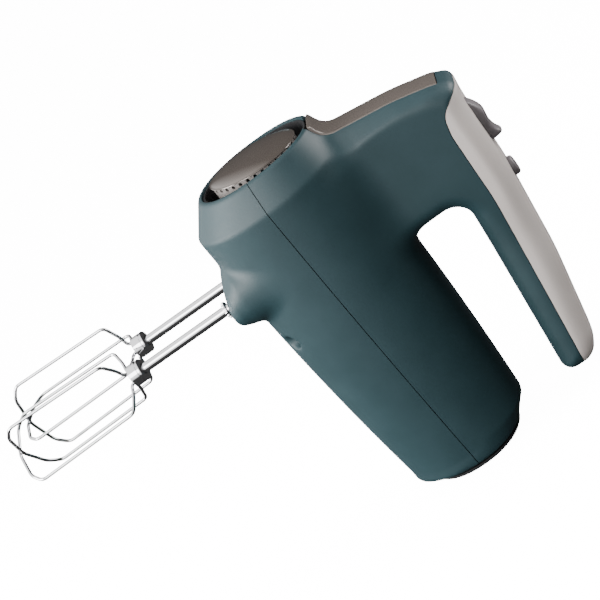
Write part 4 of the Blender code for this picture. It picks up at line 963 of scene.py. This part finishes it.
# %% Slider and button
SLIDER_TOP = [(-1.0, 3.8), (-0.985, 6.3), (-0.93, 7.1), (-0.84, 6.8), (-0.72, 5.8), (-0.55, 5.0),
              (-0.3, 4.6), (0.0, 5.2), (0.25, 5.6), (0.5, 4.9), (0.75, 3.3), (0.93, 1.7), (1.0, 0.6)]


def make_slider():
    """Stack of soft-cornered sections along the handle, each as tall as the thumb's profile there."""
    base = switch_high[0] - 7.1
    middle, half = (switch_low[2] + switch_high[2]) / 2, (switch_high[2] - switch_low[2]) / 2
    half_width = (switch_high[1] - switch_low[1]) / 2
    angles = np.linspace(0, 2 * math.pi, 48, endpoint=False)
    rings = []
    for share, tall in smooth_line(SLIDER_TOP, 5):
        share = min(1.0, max(-1.0, share))
        narrow = half_width * (1 - 0.22 * abs(share) ** 7) * (0.93 + 0.07 * math.cos(2.6 * share))
        ring = []
        for angle in angles:
            c, d = math.cos(angle), math.sin(angle)
            y = narrow * math.copysign(abs(c) ** 0.5, c)
            up = max(0.0, math.copysign(abs(d) ** 0.62, d))
            scoop = 0.35 * (1 - (y / half_width) ** 2) * (1 if up > 0.9 else up)
            ring.append((base + max(0.0, (tall - scoop) * up), y, middle + half * share))
        rings.append(ring)
    return skinned("thumb_slider", rings)


def make_button():
    top, radius = button_high[0], BUTTON_HOLE - 0.45
    profile = [(button_low[0], 0.05), (button_low[0], radius), (top - 1.7, radius),
               (top - 1.0, radius - 0.16), (top - 0.45, radius - 0.45), (top - 0.1, radius - 0.8),
               (top, radius - 1.2), (top - 0.25, radius - 1.9), (top - 0.75, radius - 3.0),
               (top - 1.05, 1.4), (top - 1.1, 0.05)]
    return turned("boost_button", profile, 0.0, BUTTON_Z)


dress(make_slider(), "control_grey", "speed_slider", "speed_switch")
dress(make_button(), "control_grey", "turbo_key", "turbo_button")


# %% [markdown]
# ## Beaters
# Each beater is a plated rod with a crimped ring that holds two bent wire loops. The loops are
# curves with a round section, so every bend keeps the wire's true thickness.

# %% Beaters
ROD_RADIUS = 2.95
WIRE_RADIUS = 1.0
BEND_RADIUS = 5.0
SHOULDER, CAGE = 22.3, 24.3
CAGE_TURN = {"left": 30, "right": 5}
BEATER_TIP_X = cad_low[0] / MM


def bent_wire(name, corners, radius):
    """Round wire through corners, each bend an arc."""
    path = [Vector(corners[0])]
    for before, corner, after in zip(corners, corners[1:], corners[2:]):
        corner = Vector(corner)
        into, out = Vector(before) - corner, Vector(after) - corner
        reach = min(BEND_RADIUS * 0.6, into.length * 0.45, out.length * 0.45)
        start, stop = corner + into.normalized() * reach, corner + out.normalized() * reach
        path += [start.lerp(corner, t).lerp(corner.lerp(stop, t), t) for t in np.linspace(0, 1, 9)]
    path.append(Vector(corners[-1]))
    curve = bpy.data.curves.new(name, "CURVE")
    curve.dimensions = "3D"
    spline = curve.splines.new("POLY")
    spline.points.add(len(path) - 1)
    for point, place in zip(spline.points, path):
        point.co = (*(place * MM), 1.0)
    curve.bevel_depth = radius * MM
    curve.bevel_resolution = 4
    curve.use_fill_caps = True
    drawn = bpy.data.objects.new(name + "_line", curve)
    bpy.context.scene.collection.objects.link(drawn)
    mesh = bpy.data.meshes.new_from_object(drawn.evaluated_get(bpy.context.evaluated_depsgraph_get()))
    bpy.data.objects.remove(drawn)
    builder = bmesh.new()
    builder.from_mesh(mesh)
    bmesh.ops.remove_doubles(builder, verts=builder.verts, dist=1e-6)
    bmesh.ops.recalc_face_normals(builder, faces=builder.faces)
    for face in builder.faces:
        face.smooth = len(face.verts) == 4
    builder.to_mesh(mesh)
    builder.free()
    made = bpy.data.objects.new(name, mesh)
    bpy.context.scene.collection.objects.link(made)
    return made


def cage_wire(side, y, index, ring_low, ring_high):
    angle = math.radians(CAGE_TURN[side] + 90 * index)
    root = ROD_RADIUS + 0.35 + WIRE_RADIUS
    tip = BEATER_TIP_X + WIRE_RADIUS + index * 2.3
    mouth = ring_low - 2.3
    leg = [(ring_high - 2.2, root), (mouth, root), (mouth - 0.6, 11.5), (mouth - 4.2, SHOULDER),
           (tip + 9.0, CAGE), (tip + 3.0, CAGE - 7.0), (tip, 1.5)]
    loop = leg + [(x, -r) for x, r in reversed(leg)]
    corners = [(x, y + r * math.cos(angle), SPINDLE_Z + r * math.sin(angle)) for x, r in loop]
    return bent_wire(f"cage_wire_{side}_{index + 1}", corners, WIRE_RADIUS)


def make_beater(side, sign):
    body, y = side + "_beater", sign * SPINDLE_Y
    low, high = box_mm("crimp_ring_" + side)
    rod_low, rod_high = box_mm("beater_rod_" + side)
    rod = [(rod_low[0], 0.05), (rod_low[0], ROD_RADIUS - 0.4), (rod_low[0] + 0.4, ROD_RADIUS),
           (rod_high[0] - 1.2, ROD_RADIUS), (rod_high[0] - 0.2, ROD_RADIUS - 1.0), (rod_high[0], 0.05)]
    dress(turned("rod_" + side, rod, y, SPINDLE_Z), "chrome", body, "beater_rod_" + side)
    outer, bore, inner = (high[1] - low[1]) / 2, ROD_RADIUS + 0.3, (high[1] - low[1]) / 2 - 1.0
    ring = [(low[0], outer - 0.35), (low[0] + 0.35, outer), (high[0] - 2.6, outer),
            (high[0] - 2.3, outer - 0.7), (high[0] - 1.7, outer - 0.7), (high[0] - 1.4, outer),
            (high[0] - 0.6, outer), (high[0] - 0.15, outer - 0.3), (high[0], outer - 0.9), (high[0], bore),
            (high[0] - 1.2, bore), (high[0] - 1.2, inner), (low[0], inner)]
    dress(turned("ring_" + side, ring, y, SPINDLE_Z, closed=True), "chrome", body, "crimp_ring_" + side)
    for index in range(2):
        dress(cage_wire(side, y, index, low[0], high[0]), "chrome", body, f"beater_wire_{side}_{index + 1}")


for beater_side, beater_sign in (("left", -1), ("right", 1)):
    make_beater(beater_side, beater_sign)


# %% [markdown]
# ## Coding collar
# Only one beater has a toothed collar, so it can't be pushed into the wrong socket. Its teeth repeat
# round a circle, so the same node tree sets them, this time added to a plain ring.

# %% Coding collar
COLLAR_TEETH = 14


def make_collar():
    low, high = box_mm("drive_collar")
    outer = (high[1] - low[1]) / 2 - 0.5
    bore = ROD_RADIUS + 0.3
    profile = [(low[0], bore), (low[0], outer), (high[0], outer), (high[0], bore)]
    collar = turned("coding_collar", profile, -SPINDLE_Y, SPINDLE_Z, closed=True)
    work_around_oval(collar, "UNION", Half_height=(outer - 0.1) * MM, Half_width=(outer - 0.1) * MM,
                     Level=((low[0] + high[0]) / 2 * MM, -SPINDLE_Y * MM, SPINDLE_Z * MM),
                     Count=COLLAR_TEETH + 1,
                     Tool_radius=0.6 * MM, Tool_length=1.1 * MM, Tool_sides=8, Turn=(0.0, math.pi / 2, 0.0),
                     Finish=FINISHES["chrome"])
    return collar


dress(make_collar(), "chrome", "left_beater", "drive_collar")


# %% [markdown]
# ## Everything that stays as it is
# The inner pieces already have their right shape in the frame. They only get their real finish.

# %% Finish the carried-over solids
for node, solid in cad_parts.items():
    for place, old in enumerate(solid.data.materials):
        if old.name.split(".")[0] in FINISHES:
            solid.data.materials[place] = FINISHES[old.name.split(".")[0]]
print("finished", len(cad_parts), "solids")


# %% [markdown]
# ## Floor and light
# The floor is a bright pale sweep, as under a product on a light table. It is seen, but it neither
# lights the mixer nor shows in the chrome, so the soft lights alone shape the form: a broad one on
# the beater side, a near one in front and one over the grip. The dim room is dark away from the beater
# side and below the horizon, which is what leaves the dark bands on the metal.

# %% Floor and light
FLOOR_GLOW = 14.0
ROOM_DARK, ROOM_LIT = 0.06, 2.1


def make_floor():
    reach = 6000.0
    corners = [(-reach, -reach, 0), (reach, -reach, 0), (reach, reach, 0), (-reach, reach, 0)]
    floor = make_object("floor", corners, [(0, 1, 2, 3)])
    floor.data.materials.append(finish("pale_paper", "#FAFAFA", "#FFFFFF", (0.8, 0.9), 3.0, 0.0,
                                       Emission_Color=(1, 1, 1, 1), Emission_Strength=FLOOR_GLOW))
    floor.visible_diffuse = False
    floor.visible_glossy = False
    floor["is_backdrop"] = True


def soft_light(name, direction, distance, size, power):
    lamp = bpy.data.lights.new(name, "AREA")
    lamp.shape = "DISK"
    lamp.size = size
    lamp.energy = power
    made = bpy.data.objects.new(name, lamp)
    made.location = LOOK_AT + direction.normalized() * distance
    made.rotation_euler = direction.to_track_quat("Z", "Y").to_euler()
    bpy.context.scene.collection.objects.link(made)


def dim_room():
    """Surroundings that fade from a lit side to a dark one."""
    world = bpy.data.worlds.new("dim_room")
    world.use_nodes = True
    tree = world.node_tree
    place = add_node(tree, "ShaderNodeTexCoord")
    lit_side = (-0.8 * view_right - 0.35 * view_up + 0.2 * view_towards).normalized()
    facing = add_node(tree, "ShaderNodeVectorMath", {"operation": "DOT_PRODUCT"},
                      {0: place.outputs["Generated"], 1: lit_side})
    side = add_node(tree, "ShaderNodeMapRange", inputs={"Value": facing.outputs["Value"], "From Min": 0.05,
                                                        "From Max": 0.42})
    apart = add_node(tree, "ShaderNodeSeparateXYZ", inputs={"Vector": place.outputs["Generated"]})
    above = add_node(tree, "ShaderNodeMapRange", inputs={"Value": apart.outputs["Z"], "From Min": -0.30,
                                                         "From Max": -0.02})
    lit = add_node(tree, "ShaderNodeMath", {"operation": "MULTIPLY"},
                   {0: side.outputs[0], 1: above.outputs[0]})
    strength = add_node(tree, "ShaderNodeMapRange", inputs={"Value": lit.outputs[0], "To Min": ROOM_DARK,
                                                            "To Max": ROOM_LIT})
    tree.links.new(strength.outputs[0], tree.nodes["Background"].inputs["Strength"])
    tree.nodes["Background"].inputs["Color"].default_value = (1, 1, 1, 1)
    bpy.context.scene.world = world


make_floor()
dim_room()
soft_light("beater_side_light", -0.95 * view_right - 0.35 * view_up + 0.2 * view_towards, 1.1, 0.7, 20.0)
soft_light("front_light", -0.61 * view_right - 0.15 * view_up + 0.78 * view_towards, 0.73, 0.42, 3.3)
soft_light("grip_light", 0.47 * view_right + 0.87 * view_up + 0.17 * view_towards, 0.56, 0.35, 3.4)
